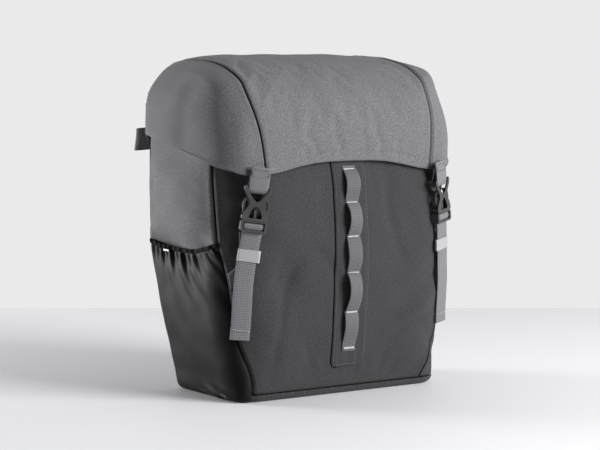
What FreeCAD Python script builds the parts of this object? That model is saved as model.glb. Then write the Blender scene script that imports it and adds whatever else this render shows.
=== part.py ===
import FreeCAD, Part
import math
import os

# Pannier bag. Frame: origin on the floor under the middle of the base, +X to the right seen from the
# front, -Y towards the front, +Y towards the bicycle rack, +Z up. All lengths in millimetres.

V = FreeCAD.Vector
X_AXIS = V(1, 0, 0)
Y_AXIS = V(0, 1, 0)
Z_AXIS = V(0, 0, 1)
SIDES = (("left", -1), ("right", 1))

# ---------------------------------------------------------------- body of the bag
FABRIC = 2.5                 # laminated fabric with its lining
BACK_RADIUS = 15             # vertical rear edges
BACK_Y = 97                  # the flat back that faces the rack
BODY_TOP = 300               # rim of the sides and front, under the lid
BACK_TOP = 345               # the back panel reaches up to the lid's hinge seam
BACK_TOP_HALF = 160
WRAP = 10                    # how far the bottom panel wraps up the sides
# level: (height, half width, front Y, back Y, front corner radius)
LEVELS = (
    (0, 146, -82, 62, 30),
    (10, 149, -85, 65, 36),
    (75, 157, -92, 79, 52),
    (150, 164, -96, 92, 62),
    (195, 168, -97, BACK_Y, 65),
    (240, 169, -94, BACK_Y, 65),
    (BODY_TOP, 168, -85, BACK_Y, 62),
)
FRONT_SEAM_ANGLE = (26, 26, 49, 60, 67, 68, 68)   # round the front corner, from the front
BACK_SEAM_ANGLE = 45
BOARD_THICK = 3              # plastic board that stiffens the back
BOARD_GAP = 0.3              # between the board and the fabric
BOARD_HALF = 132
BOARD_FRONT_Y = 10
BOARD_Z = (25, 298)

# ---------------------------------------------------------------- storm collar and side pocket
COLLAR_Z = (262, 290, 322)   # sewn edge, where it starts to draw in, and its hem
COLLAR_DRAW = 26             # how far the hem draws in
COLLAR_INSET = 6.3           # from the bag's outer face to the collar
COLLAR_FABRIC = 1.5
COLLAR_HEM = 7               # height of the elastic hem
POCKET_TOP = 176
POCKET_HEM = 7
POCKET_DEPTH = 13            # room between the side panel and the stretch pocket
POCKET_FABRIC = 1.4
POCKET_TAB_Y = (42, 56)
DENT_END = 205               # the side panel is back on the plain shape from here up

# ---------------------------------------------------------------- lid
LID_HALF_WIDTH = 174.5
LID_FRONT_Y = -97
LID_BACK_Y = 100
LID_TOP = 402
LID_CORNER = 58
LID_REAR_CORNER = 12
LID_SEAM = (118, 134)        # distance of the seam from the middle, at the two heights below
LID_SEAM_Z = (200, 410)
LID_PIPING = 1.0             # how far the piping stands out, and half its width
LID_PIPING_LOW = 278
LID_REAR_Y = 86              # behind this the lid has no panel below its hinge
HINGE_Z = 348

# ---------------------------------------------------------------- straps and buckles
STRAP_X = 130
STRAP_TURN = 22              # straps face outwards a little, round the front corners
STRAP_LEAN = 8               # and run outwards below the lid
STRAP_TOP = 255              # height where the lean starts
BUCKLE_Y = -98.5
BUCKLE_Z = 213.5             # mouth of the socket
BUCKLE_DEPTH = 5.5           # half the socket's depth
BUCKLE_BAR_Z = 35.2          # socket's webbing bar above its mouth
SOCKET_WALL = 2.1
BUCKLE_BAR_R = 2.2
PLUG_BAR_R = 1.7
PLUG_BAR = (0.4, -6.4)       # the plug's webbing bar, behind the strap's axis and below its mouth
WEB_WIDTH = 23
WEB_THICK = 1.6
LID_WEB_Y = -2.6             # inner face of the lid's webbing, in the strap's frame
LID_WEB_TOP = 60
ANCHOR_LOW = (149, 150)      # X and Z of the anchor's ends
ANCHOR_HIGH = (138, 196)
ANCHOR_TAPER = 0.75
TAIL_LENGTH = 132
TAIL_DROP = 7.5              # the tail starts this far below the socket's mouth
TAIL_FACE = (1.0, 9)         # how far the tail's inner face lies behind the strap's axis, top and end
KEEPER_Z = (164, 181)
KEEPER_ROOM = (0.6, 1.25)    # inside the keeper: beside the tail, and half its opening front to back
KEEPER_WALL = (1.2, 1.15)
REAR_LOOP_Z = (289, 316)
REAR_LOOP_TURN = 60          # the folded loops at the rear edges point mostly backwards
REAR_LOOP_AT = (161, 97.5)

# ---------------------------------------------------------------- daisy chain
PATCH_HALF = 23.5
PATCH_Z = (33, 284)
PATCH_CORNER = 8
PATCH_THICK = 1.2
DAISY_HALF = 9.5
DAISY_TACKS = (268.5, 229.5, 189.5, 146.5, 99.5, 56.0)
DAISY_ENDS = (4, 5)          # webbing beyond the first and the last tack
DAISY_PEAKS = (0.4, 0.28, 0.3, 0.4, 0.5)          # where each loop stands highest, from its lower tack
DAISY_STAND = 9.5
DAISY_GROUND = 1.3           # sewn webbing above the bag's plain face
TACK_HALF = 7.5
TACK_HEIGHT = 2.4

# ---------------------------------------------------------------- rack hardware
RAIL_Z = 318
RAIL_HALF = 135
LOWER_RAIL_Z = 212
LOWER_RAIL_HALF = 70
RAIL_FOOT = (2.5, 14)        # thickness and half height of the rail's foot, neck and head
RAIL_NECK = (3.5, 4)
RAIL_HEAD = (3.5, 8)
SCREW_R = 3.0
SCREW_HEAD = 2.1
SCREW_DZ = 10.5
SCREW_END = 8                # from the rail's end
HOOK_X = 90
HOOK_WIDTH = 28
HOOK_WALL = 4.5
HOOK_DEPTH = 15              # of the hook's block, from the back panel
TUBE_R = 8                   # rack tube that the hooks sit on, 16 mm
TUBE_Y = 125
TUBE_Z = 308
TUBE_FIT = 0.1
RUN_GAP = 0.35               # between a sliding piece and its rail
SLIDER_HALF = 11.5           # half height of a sliding block
EAR_THICK = 5
EAR_REACH = 5
LATCH_PIN_R = 1.6
LATCH_BORE_R = 1.65
LATCH_HALF = 8.6
LATCH_PIN_Y = 108.5
LATCH_PIN_Z = 289
SWAY_WIDTH = 26
SWAY_DEPTH = 14
SWAY_PIVOT_R = 4
SWAY_BORE_R = 4.3
SWAY_CAP_R = 6.5
SWAY_BOSS_R = 9
SWAY_ARM = (6, 5.4)          # half width and thickness of the arm
SWAY_LENGTH = 40
SWAY_REACH = 24              # the J's depth, where it goes round the rack stay
HANDLE_Z = 336
HANDLE_Y = 113
HANDLE_HALF = 52
HANDLE_DROP = 46
HANDLE_CORNER = 14
HANDLE_THICK = 2.4
HANDLE_FRONT = 3.3           # the strap's width, before and behind its pivots
HANDLE_BEHIND = 9
HANDLE_PIN_R = 1.8
HANDLE_BORE_R = 2.15
HANDLE_EYE_R = 4.2

FAR = 300                    # beyond the bag on every side

NODES = {}


def keep(name, shape):
    """Stores one node; small leftovers of a cut are dropped."""
    solids = shape.Solids
    largest = max(s.Volume for s in solids)
    solids = [s for s in solids if s.Volume > 0.002 * largest]
    NODES[name] = solids[0] if len(solids) == 1 else Part.makeCompound(solids)


def box(x0, x1, y0, y1, z0, z1):
    return Part.makeBox(x1 - x0, y1 - y0, z1 - z0, V(x0, y0, z0))


def level_slab(z0, z1):
    """Everything between two heights."""
    return box(-FAR, FAR, -FAR, FAR, z0, z1)


def half_slab(side, z0, z1):
    """Everything between two heights, on the right (1) or the left (-1)."""
    x0, x1 = sorted((0, side * FAR))
    return box(x0, x1, -FAR, FAR, z0, z1)


def prism_x(outline, x0, x1):
    """Solid with a (Y, Z) outline, from x0 to x1."""
    points = [V(x0, y, z) for y, z in outline]
    return Part.Face(Part.makePolygon(points + points[:1])).extrude(V(x1 - x0, 0, 0))


def prism_y(outline, y0, y1):
    """Solid with an (X, Z) outline, from y0 to y1."""
    points = [V(x, y0, z) for x, z in outline]
    return Part.Face(Part.makePolygon(points + points[:1])).extrude(V(0, y1 - y0, 0))


def prism_z(outline, z0, z1):
    """Solid with an (X, Y) outline, from z0 to z1."""
    points = [V(x, y, z0) for x, y in outline]
    return Part.Face(Part.makePolygon(points + points[:1])).extrude(V(0, 0, z1 - z0))


def rod_x(radius, x0, x1, y, z):
    return Part.makeCylinder(radius, x1 - x0, V(x0, y, z), X_AXIS)


def rod_y(radius, y0, y1, x, z):
    return Part.makeCylinder(radius, y1 - y0, V(x, y0, z), Y_AXIS)


def mirrored(shape, side):
    """Shapes are drawn for the right side; the left one is the mirror image."""
    return shape if side > 0 else shape.mirror(V(0, 0, 0), X_AXIS)


def section(z, half, front, back, rf, rb):
    """Closed outline of the bag at one height: a rectangle with four round corners."""
    def corner(cx, cy, r, start):
        mid, end = math.radians(start + 45), math.radians(start + 90)
        begin = math.radians(start)
        spots = [V(cx + r * math.cos(a), cy + r * math.sin(a), z) for a in (begin, mid, end)]
        return Part.Arc(*spots).toShape()

    arcs = [
        corner(half - rf, front + rf, rf, 270),
        corner(half - rb, back - rb, rb, 0),
        corner(-half + rb, back - rb, rb, 90),
        corner(-half + rf, front + rf, rf, 180),
    ]
    edges = []
    for i, arc in enumerate(arcs):
        following = arcs[(i + 1) % 4]
        edges.append(arc)
        edges.append(Part.makeLine(arc.Vertexes[-1].Point, following.Vertexes[0].Point))
    return Part.Wire(edges)


def level_at(z):
    """The bag's measures at any height, between the two levels around it."""
    for low, high in zip(LEVELS, LEVELS[1:]):
        if z <= high[0]:
            break
    t = (z - low[0]) / (high[0] - low[0])
    return tuple(a + (b - a) * t for a, b in zip(low, high))


def body_form(grow, heights=None, dents=None):
    """Solid of the bag's outer shape, grown outwards by a distance (a list of dents goes inwards)."""
    heights = heights or [level[0] for level in LEVELS]
    dents = dents or [0] * len(heights)
    wires = []
    for z, dent in zip(heights, dents):
        _, half, front, back, rf = level_at(z)
        g = grow - dent
        wires.append(section(z, half + g, front - g, back + g, rf + g, BACK_RADIUS + max(g, 2 - BACK_RADIUS)))
    return Part.makeLoft(wires, True, True)


def front_surface(x, z):
    """Y of the bag's plain outer surface at (x, z), on its front or round its front corners."""
    _, half, front, _, rf = level_at(z)
    over = max(0, abs(x) - (half - rf))
    return front + rf - math.sqrt(max(0, rf * rf - over * over))


def wedge(corner_of, angles, depth_sign):
    """Region in front of (or behind) the seams that run up the bag's corners."""
    wires = []
    for level, angle in zip(LEVELS, angles):
        cx, cy = corner_of(level)
        reach = 160
        dx = reach * math.sin(math.radians(angle))
        dy = depth_sign * reach * math.cos(math.radians(angle))
        z = level[0]
        far = cy + dy + depth_sign * reach
        spots = [V(-cx - dx, cy + dy, z), V(-cx, cy, z), V(cx, cy, z), V(cx + dx, cy + dy, z)]
        spots += [V(cx + dx, far, z), V(-cx - dx, far, z)]
        wires.append(Part.makePolygon(spots + spots[:1]))
    return Part.makeLoft(wires, True, True)


def front_corner(level):
    return level[1] - level[4], level[2] + level[4]


def back_corner(level):
    inside = 2 * BACK_RADIUS
    return level[1] - inside, level[3] - inside


FRONT_REGION = wedge(front_corner, FRONT_SEAM_ANGLE, -1)
BACK_REGION = wedge(back_corner, [BACK_SEAM_ANGLE] * len(LEVELS), 1)


# ---------------------------------------------------------------- fabric body

def make_body():
    outer = body_form(0)
    skin = outer.cut(body_form(-FABRIC))
    above_wrap = level_slab(WRAP, BODY_TOP)
    bottom = outer.common(level_slab(0, WRAP))
    room = body_form(-FABRIC).common(level_slab(FABRIC + 0.5, WRAP))
    keep("bottom_panel", bottom.cut(room))
    keep("front_panel", skin.common(FRONT_REGION).common(above_wrap))
    right = skin.common(half_slab(1, WRAP, BODY_TOP)).cut(FRONT_REGION).cut(BACK_REGION)
    keep("side_panel_right", right.common(half_slab(1, POCKET_TOP, BODY_TOP)))
    keep("side_lower_panel_right", right.common(half_slab(1, WRAP, POCKET_TOP)))
    back = skin.common(BACK_REGION).common(above_wrap)
    upper = box(-BACK_TOP_HALF, BACK_TOP_HALF, BACK_Y - FABRIC, BACK_Y, BODY_TOP, BACK_TOP)
    keep("back_panel", back.fuse(upper).removeSplitter())

    # the left side panel goes inwards behind the pocket, and slopes out again above its hem
    below = [level[0] for level in LEVELS if level[0] < POCKET_TOP]
    above = [level[0] for level in LEVELS if level[0] > DENT_END]
    heights = below + [POCKET_TOP, DENT_END] + above
    dents = [POCKET_DEPTH] * (len(below) + 1) + [0] * (len(above) + 1)
    dented = body_form(0, heights, dents).cut(body_form(-FABRIC, heights, dents))
    left = dented.common(half_slab(-1, WRAP, BODY_TOP)).cut(FRONT_REGION).cut(BACK_REGION)
    keep("side_panel_left", left)

    inset = FABRIC + BOARD_GAP
    board = body_form(-inset).cut(body_form(-inset - BOARD_THICK))
    board = board.common(box(-BOARD_HALF, BOARD_HALF, BOARD_FRONT_Y, FAR, *BOARD_Z))
    keep("stiffener_board", board)


def make_collar():
    """Storm collar: a soft tube inside the rim that draws in at the top, with its elastic hem."""
    _, bend, high = COLLAR_Z

    def ring(z, grow):
        _, half, front, back, rf = level_at(min(z, BODY_TOP))
        draw = COLLAR_DRAW * max(0, z - bend) / (high - bend)
        g = grow - COLLAR_INSET - draw
        return section(z, half + g, front - g, back + g, rf + g * 0.5, BACK_RADIUS)

    outer = Part.makeLoft([ring(z, 0) for z in COLLAR_Z], True, True)
    inner = Part.makeLoft([ring(z, -COLLAR_FABRIC) for z in COLLAR_Z], True, True)
    keep("storm_collar", outer.cut(inner))
    ends = (0, COLLAR_HEM)
    outer_hem = Part.makeLoft([ring(high, COLLAR_FABRIC).translated(V(0, 0, dz)) for dz in ends], True, True)
    inner_hem = Part.makeLoft([ring(high, -2 * COLLAR_FABRIC).translated(V(0, 0, dz)) for dz in ends], True, True)
    keep("collar_elastic_hem", outer_hem.cut(inner_hem))


def make_pocket():
    skin = body_form(0).cut(body_form(-POCKET_FABRIC))
    side = skin.common(half_slab(-1, WRAP, POCKET_TOP)).cut(FRONT_REGION).cut(BACK_REGION)
    hem_low = POCKET_TOP - POCKET_HEM
    keep("side_pocket", side.common(half_slab(-1, WRAP, hem_low)))
    stand = 0.8
    hem = body_form(stand).cut(body_form(-POCKET_FABRIC - 0.4))
    hem = hem.common(half_slab(-1, hem_low, POCKET_TOP)).cut(FRONT_REGION).cut(BACK_REGION)
    keep("pocket_elastic_hem", hem)
    tab = body_form(stand + 1.2).cut(body_form(stand))
    keep("pocket_reflective_tab", tab.common(box(-FAR, 0, *POCKET_TAB_Y, hem_low, POCKET_TOP)))


# ---------------------------------------------------------------- daisy chain on the front

def make_daisy():
    bottom, top = PATCH_Z
    half, cut = PATCH_HALF, PATCH_CORNER
    outline = [(-half, top), (-half, bottom + cut), (-half + cut, bottom), (half - cut, bottom)]
    outline += [(half, bottom + cut), (half, top)]
    patch = body_form(PATCH_THICK).cut(body_form(0.02)).common(prism_y(outline, -FAR, 0))
    keep("centre_patch", patch)

    tacks = []
    webbing = []
    first = DAISY_TACKS[0] + DAISY_ENDS[0]
    last = DAISY_TACKS[-1] - DAISY_ENDS[1]
    shortest_loop = 20
    stops = [first] + list(DAISY_TACKS) + [last]
    for high, low in zip(stops, stops[1:]):
        steps = 14 if high - low > shortest_loop else 1
        webbing.append([(high - (high - low) * i / steps, high, low) for i in range(steps + 1)])
    face = []
    for span in webbing:
        for z, high, low in span:
            if high - low < shortest_loop:
                rise = 0
            else:
                peak = DAISY_PEAKS[DAISY_TACKS.index(high)]
                t = (z - low) / (high - low)
                s = t / peak if t < peak else (1 - t) / (1 - peak)
                rise = DAISY_STAND * math.sin(math.pi / 2 * min(1, s)) ** 1.3
            point = (front_surface(0, z) - DAISY_GROUND - rise, z)
            if not face or abs(face[-1][1] - z) > 0.01:
                face.append(point)
    outer = [(y - WEB_THICK, z) for y, z in face]
    keep("daisy_chain_webbing", prism_x(face + outer[::-1], -DAISY_HALF, DAISY_HALF))
    for z in DAISY_TACKS:
        y = front_surface(0, z) - DAISY_GROUND - WEB_THICK
        tacks.append(box(-TACK_HALF, TACK_HALF, y - 0.7, y - 0.02, z - TACK_HEIGHT / 2, z + TACK_HEIGHT / 2))
    keep("daisy_bar_tacks", Part.makeCompound(tacks))


# ---------------------------------------------------------------- lid

def closed_wire(points):
    """Closed outline; a point written as a pair of points is the arc's middle and end."""
    edges = []
    here = points[0]
    for item in list(points[1:]) + [points[0]]:
        if isinstance(item, tuple):
            middle, end = item
            edges.append(Part.Arc(here, middle, end).toShape())
            here = end
        else:
            edges.append(Part.makeLine(here, item))
            here = item
    return Part.Wire(edges)


def lid_form(inset):
    """The lid's outer shape: a side outline, a front outline and a plan outline, intersected."""
    side = closed_wire([
        V(0, LID_FRONT_Y, 200),
        V(0, LID_FRONT_Y, 272),
        (V(0, -93, 318), V(0, -76, 357)),
        (V(0, -38, 387), V(0, 20, 399)),
        (V(0, 42, 401.5), V(0, 64, LID_TOP)),
        V(0, 80, LID_TOP - 1),
        (V(0, 95, 394), V(0, LID_BACK_Y, 380)),
        V(0, LID_BACK_Y, 200),
    ])
    front = closed_wire([
        V(-LID_HALF_WIDTH, 0, 200),
        V(-LID_HALF_WIDTH, 0, 330),
        (V(-157, 0, 374), V(-108, 0, 398)),
        (V(0, 0, LID_TOP + 0.5), V(108, 0, 398)),
        (V(157, 0, 374), V(LID_HALF_WIDTH, 0, 330)),
        V(LID_HALF_WIDTH, 0, 200),
    ])
    plan = section(200, LID_HALF_WIDTH, LID_FRONT_Y, LID_BACK_Y, LID_CORNER, LID_REAR_CORNER)
    solids = []
    for wire, move, along in (
        (side, V(-200, 0, 0), V(400, 0, 0)),
        (front, V(0, -200, 0), V(0, 400, 0)),
        (plan, V(0, 0, 0), V(0, 0, 300)),
    ):
        if inset:
            wire = wire.makeOffset2D(-inset)
        wire.translate(move)
        solids.append(Part.Face(wire).extrude(along))
    return solids[0].common(solids[1]).common(solids[2])


LID_OUTER = lid_form(0)


def lid_trim():
    """What is cut from below the lid's edge: sloping at the sides, arched at the front, open at the back."""
    sides = prism_x([
        (-140, 262), (-92, 266), (-70, 270), (-49, 276), (55, 298), (101, 307),
        (140, 311), (140, 190), (-140, 190),
    ], -FAR, FAR)
    arch = prism_y([
        (-104, 190), (-104, 267), (-80, 273), (-40, 279), (0, 281), (40, 279),
        (80, 273), (104, 267), (104, 190),
    ], -140, -75)
    inner_half = LID_HALF_WIDTH - FABRIC
    rear = box(-inner_half, inner_half, LID_REAR_Y, FAR, 190, HINGE_Z + 3)
    return sides.fuse(arch).fuse(rear)


def seam_slab(offset_low, offset_high, side):
    """Upright slab along the seam between the lid's top panel and its gusset."""
    low, high = LID_SEAM
    z_low, z_high = LID_SEAM_Z
    outline = [
        (side * (low + offset_low), z_low), (side * (high + offset_low), z_high),
        (side * (high + offset_high), z_high), (side * (low + offset_high), z_low),
    ]
    return prism_y(outline, -200, 200)


def make_lid():
    shell = LID_OUTER.cut(lid_form(FABRIC)).cut(lid_trim())
    low, high = LID_SEAM
    z_low, z_high = LID_SEAM_Z
    middle = prism_y([(-low, z_low), (-high, z_high), (high, z_high), (low, z_low)], -200, 200)
    keep("lid_top_panel", shell.common(middle))
    outside = shell.cut(middle)
    crust = lid_form(-LID_PIPING).cut(lid_form(0.01)).cut(lid_trim())
    for name, side in SIDES:
        keep("lid_gusset_" + name, outside.common(half_slab(side, 0, 500)))
        piping = crust.common(seam_slab(-LID_PIPING, LID_PIPING, side))
        keep("lid_piping_" + name, piping.common(level_slab(LID_PIPING_LOW, 500)))


# ---------------------------------------------------------------- buckles

def placed(shape, side, z=BUCKLE_Z):
    """Puts a shape drawn round the strap's own axis in its place on the right or left strap."""
    moved = shape.copy()
    moved.translate(V(0, 0, z))
    moved.rotate(V(0, 0, STRAP_TOP), Y_AXIS, -STRAP_LEAN)
    moved.rotate(V(0, 0, 0), Z_AXIS, STRAP_TURN)
    moved.translate(V(STRAP_X, BUCKLE_Y, 0))
    return mirrored(moved, side)


def both_ways(points):
    """Closes a right-hand outline, drawn from the middle line to the middle line, with its mirror image."""
    return points + [(-x, z) for x, z in points[::-1] if x > 0.01]


SOCKET_EDGE = [
    (0, 0), (14.0, 0), (15.1, 1.4), (15.0, 5), (13.6, 9.5), (11.2, 13.2), (9.4, 16.4), (8.7, 19.5),
    (9.5, 22.8), (11.8, 27), (14.4, 31), (15.8, 35), (15.9, 38), (14.6, 40), (12.9, 39.4), (12.2, 36.5),
    (11.0, 33.2), (8.0, 28.6), (4.2, 23.8), (0, 21.2),
]
SOCKET_WINDOW = [(0, 2.6), (6.6, 2.6), (7.6, 3.8), (7.2, 6.2), (5.4, 11), (3.0, 15), (0, 16.8)]


def socket_shape():
    """Female half: two plates that cross like an X, a mouth, and a bar for the lid's webbing."""
    outline = both_ways(SOCKET_EDGE)
    window = both_ways(SOCKET_WINDOW)
    deep, skin = BUCKLE_DEPTH, SOCKET_WALL
    shape = prism_y(outline, -deep, skin - deep).cut(prism_y(window, -deep - 1, 0))
    shape = shape.fuse(prism_y(outline, deep - skin, deep))
    for s in (-1, 1):
        x0, x1 = sorted((s * 13.4, s * 15.05))
        shape = shape.fuse(box(x0, x1, -deep, deep, 1.4, 5))
        x0, x1 = sorted((s * 12.4, s * 15.7))
        shape = shape.fuse(box(x0, x1, -deep, deep, 34, 38))
    shape = shape.fuse(rod_x(BUCKLE_BAR_R, -14.5, 14.5, 0, BUCKLE_BAR_Z))
    return shape.fuse(box(-1.6, 1.6, -4, 4, 17.5, 20.8)).removeSplitter()


def plug_shape():
    """Male half: a frame with a middle bar for the webbing, and a centre guide that goes into the socket."""
    edge = both_ways([(0, -13.5), (13.2, -13.5), (15.2, -11.8), (15.5, -7), (15.2, -2), (13.8, -0.4), (0, -0.4)])
    shape = prism_y(edge, -5.2, 5.2).cut(box(-12.3, 12.3, -6, 6, -10.9, -2.2))
    shape = shape.cut(box(-12.3, 12.3, -1.8, 6, -14, -2.2))
    shape = shape.fuse(rod_x(PLUG_BAR_R, -13, 13, *PLUG_BAR))
    return shape.fuse(box(-1.5, 1.5, -2.8, 2.8, -1, 12)).removeSplitter()


def prong_shape():
    """One springy arm (the right one): a thin bow held by the plug that snaps out behind the mouth."""
    outline = [
        (9.4, 0), (12.6, 0), (12.9, 6), (14.6, 10.4), (15.9, 15), (15.5, 20), (13.6, 24.4),
        (10.8, 26.4), (9.9, 25.2), (12.2, 22.4), (13.2, 19), (13.3, 15.4), (12.0, 11.2), (10.2, 7.5),
    ]
    return prism_y(outline, -2.9, 2.9)


def make_buckles():
    for name, side in SIDES:
        keep("buckle_socket_" + name, placed(socket_shape(), side))
        keep("buckle_plug_" + name, placed(plug_shape(), side))
        prong = prong_shape()
        other = prong.mirror(V(0, 0, 0), X_AXIS)
        keep("buckle_prong_outer_" + name, placed(prong, side))
        keep("buckle_prong_inner_" + name, placed(other, side))


# ---------------------------------------------------------------- webbing

def band(side, lower, upper, low, high):
    """Webbing that hugs the bag between two heights, given as (X, Z) middles of its ends."""
    half = WEB_WIDTH / 2
    low_half = ANCHOR_TAPER * half
    outline = [
        (lower[0] - low_half, lower[1]), (upper[0] - half, upper[1]),
        (upper[0] + half, upper[1]), (lower[0] + low_half, lower[1]),
    ]
    shape = body_form(high).cut(body_form(low)).common(prism_y(outline, -FAR, -20))
    return mirrored(shape, side)


def make_straps():
    half = WEB_WIDTH / 2
    top_face, end_face = TAIL_FACE
    for name, side in SIDES:
        loop = box(-half, half, LID_WEB_Y - WEB_THICK, LID_WEB_Y, BUCKLE_BAR_Z - WEB_THICK, LID_WEB_TOP)
        keep("lid_webbing_" + name, placed(loop, side))

        keep("strap_anchor_" + name, band(side, ANCHOR_LOW, ANCHOR_HIGH, 0.4, 2.0))

        long = TAIL_LENGTH
        outline = [(top_face, 0), (end_face, -long), (end_face - WEB_THICK, -long), (top_face - WEB_THICK, 0)]
        tail = prism_x(outline, -half, half)
        tail_z = BUCKLE_Z - TAIL_DROP
        keep("strap_tail_" + name, placed(tail, side, tail_z))

        length = KEEPER_Z[1] - KEEPER_Z[0]
        slope = (end_face - top_face) / TAIL_LENGTH
        y_mid = top_face - WEB_THICK / 2 + slope * (tail_z - sum(KEEPER_Z) / 2)
        x, y = half + KEEPER_ROOM[0], KEEPER_ROOM[1]
        ring = box(-x - KEEPER_WALL[0], x + KEEPER_WALL[0], -y - KEEPER_WALL[1], y + KEEPER_WALL[1], 0, length)
        ring = ring.cut(box(-x, x, -y, y, -1, length + 1))
        ring.rotate(V(0, 0, length / 2), X_AXIS, math.degrees(math.atan(slope)))
        ring.translate(V(0, y_mid, 0))
        keep("strap_keeper_" + name, placed(ring, side, KEEPER_Z[0]))


def make_rear_loops():
    """Folded webbing loops sewn into the rear edges, one each side."""
    z0, z1 = REAR_LOOP_Z
    outer = [(0, -4.6), (13, -4.9), (17.5, -3.2), (19.4, 0), (17.5, 3.2), (13, 4.9), (0, 4.6)]
    inner = [(-1, -3.3), (13, -3.6), (16.5, -2.3), (17.9, 0), (16.5, 2.3), (13, 3.6), (-1, 3.3)]
    loop = prism_z(outer, z0, z1).cut(prism_z(inner, z0 - 1, z1 + 1))
    loop = loop.fuse(box(-3, 0.5, -4.6, 4.6, z0, z1))
    loop.rotate(V(0, 0, 0), Z_AXIS, REAR_LOOP_TURN)
    loop.translate(V(*REAR_LOOP_AT, 0))
    for name, side in SIDES:
        keep("rear_loop_" + name, mirrored(loop, side))


# ---------------------------------------------------------------- rack hardware on the back

def rail(half, z):
    """T-shaped rail: a foot plate on the back panel, a neck, and a head that the sliders hold."""
    y = BACK_Y
    layers = []
    for thick, half_height in (RAIL_FOOT, RAIL_NECK, RAIL_HEAD):
        layers.append(box(-half, half, y, y + thick, z - half_height, z + half_height))
        y += thick
    return layers[0].fuse(layers[1]).fuse(layers[2]).removeSplitter()


def screws(half, z):
    """Pan-head screws through the rail's foot."""
    heads = []
    y = BACK_Y + RAIL_FOOT[0]
    for x in (-half + SCREW_END, half - SCREW_END):
        for dz in (-SCREW_DZ, SCREW_DZ):
            heads.append(rod_y(SCREW_R, y, y + SCREW_HEAD, x, z + dz))
    return Part.makeCompound(heads)


def slider_block(x, z, width, y_out):
    """Block that grips the rail's head, with running clearance all round."""
    g = RUN_GAP
    foot_y = BACK_Y + RAIL_FOOT[0]
    neck_y = foot_y + RAIL_NECK[0]
    head_y = neck_y + RAIL_HEAD[0]
    low = foot_y + g
    neck_half, head_half = RAIL_NECK[1] + g, RAIL_HEAD[1] + g
    block = box(x - width / 2, x + width / 2, low, y_out, z - SLIDER_HALF, z + SLIDER_HALF)
    neck = box(x - width, x + width, low - 1, neck_y + g, z - neck_half, z + neck_half)
    head = box(x - width, x + width, neck_y - g, head_y + g, z - head_half, z + head_half)
    return block.cut(neck).cut(head)


def make_hook(x):
    """Hook over the rack tube, opening downwards, with two ears below for the latch."""
    y_out = BACK_Y + HOOK_DEPTH
    block = slider_block(x, RAIL_Z, HOOK_WIDTH, y_out)
    x0, x1 = x - HOOK_WIDTH / 2, x + HOOK_WIDTH / 2
    crown = TUBE_R + HOOK_WALL
    arch = rod_x(crown, x0, x1, TUBE_Y, TUBE_Z)
    arch = arch.fuse(box(x0, x1, TUBE_Y, TUBE_Y + crown, TUBE_Z - 9, TUBE_Z))
    arch = arch.fuse(box(x0, x1, y_out - 1, TUBE_Y, TUBE_Z - 5, TUBE_Z + crown))
    below = box(x0 - 1, x1 + 1, TUBE_Y - TUBE_R, TUBE_Y + TUBE_R, TUBE_Z - 30, TUBE_Z)
    seat = rod_x(TUBE_R + TUBE_FIT, x0 - 1, x1 + 1, TUBE_Y, TUBE_Z)
    arch = arch.cut(below)
    shape = block.fuse(arch).cut(seat)
    under_arch = box(x0 - 1, x1 + 1, y_out + 0.01, TUBE_Y - TUBE_R + 0.01, TUBE_Z - 30, TUBE_Z - 5)
    shape = shape.cut(under_arch)
    ear_y = BACK_Y + 6.5
    for ear_x in (x0, x1 - EAR_THICK):
        shape = shape.fuse(box(ear_x, ear_x + EAR_THICK, ear_y, LATCH_PIN_Y + EAR_REACH,
                               LATCH_PIN_Z - EAR_REACH, RAIL_Z - SLIDER_HALF + 0.5))
    hole = rod_x(LATCH_PIN_R, x0 - 1, x1 + 1, LATCH_PIN_Y, LATCH_PIN_Z)
    return shape.cut(hole).removeSplitter()


def make_latch(x):
    """Tongue under the tube; it swings down and back when the tube pushes in or the handle pulls."""
    half = LATCH_HALF
    outline = [
        (LATCH_PIN_Y - 4, LATCH_PIN_Z - 3), (LATCH_PIN_Y, LATCH_PIN_Z - 4.2),
        (127, 293.0), (130, 296.5), (127, 297.6), (LATCH_PIN_Y + 4, LATCH_PIN_Z + 5),
        (LATCH_PIN_Y - 3, LATCH_PIN_Z + 4),
    ]
    tongue = prism_x(outline, x - half, x + half)
    return tongue.cut(rod_x(LATCH_BORE_R, x - half - 1, x + half + 1, LATCH_PIN_Y, LATCH_PIN_Z))


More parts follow.
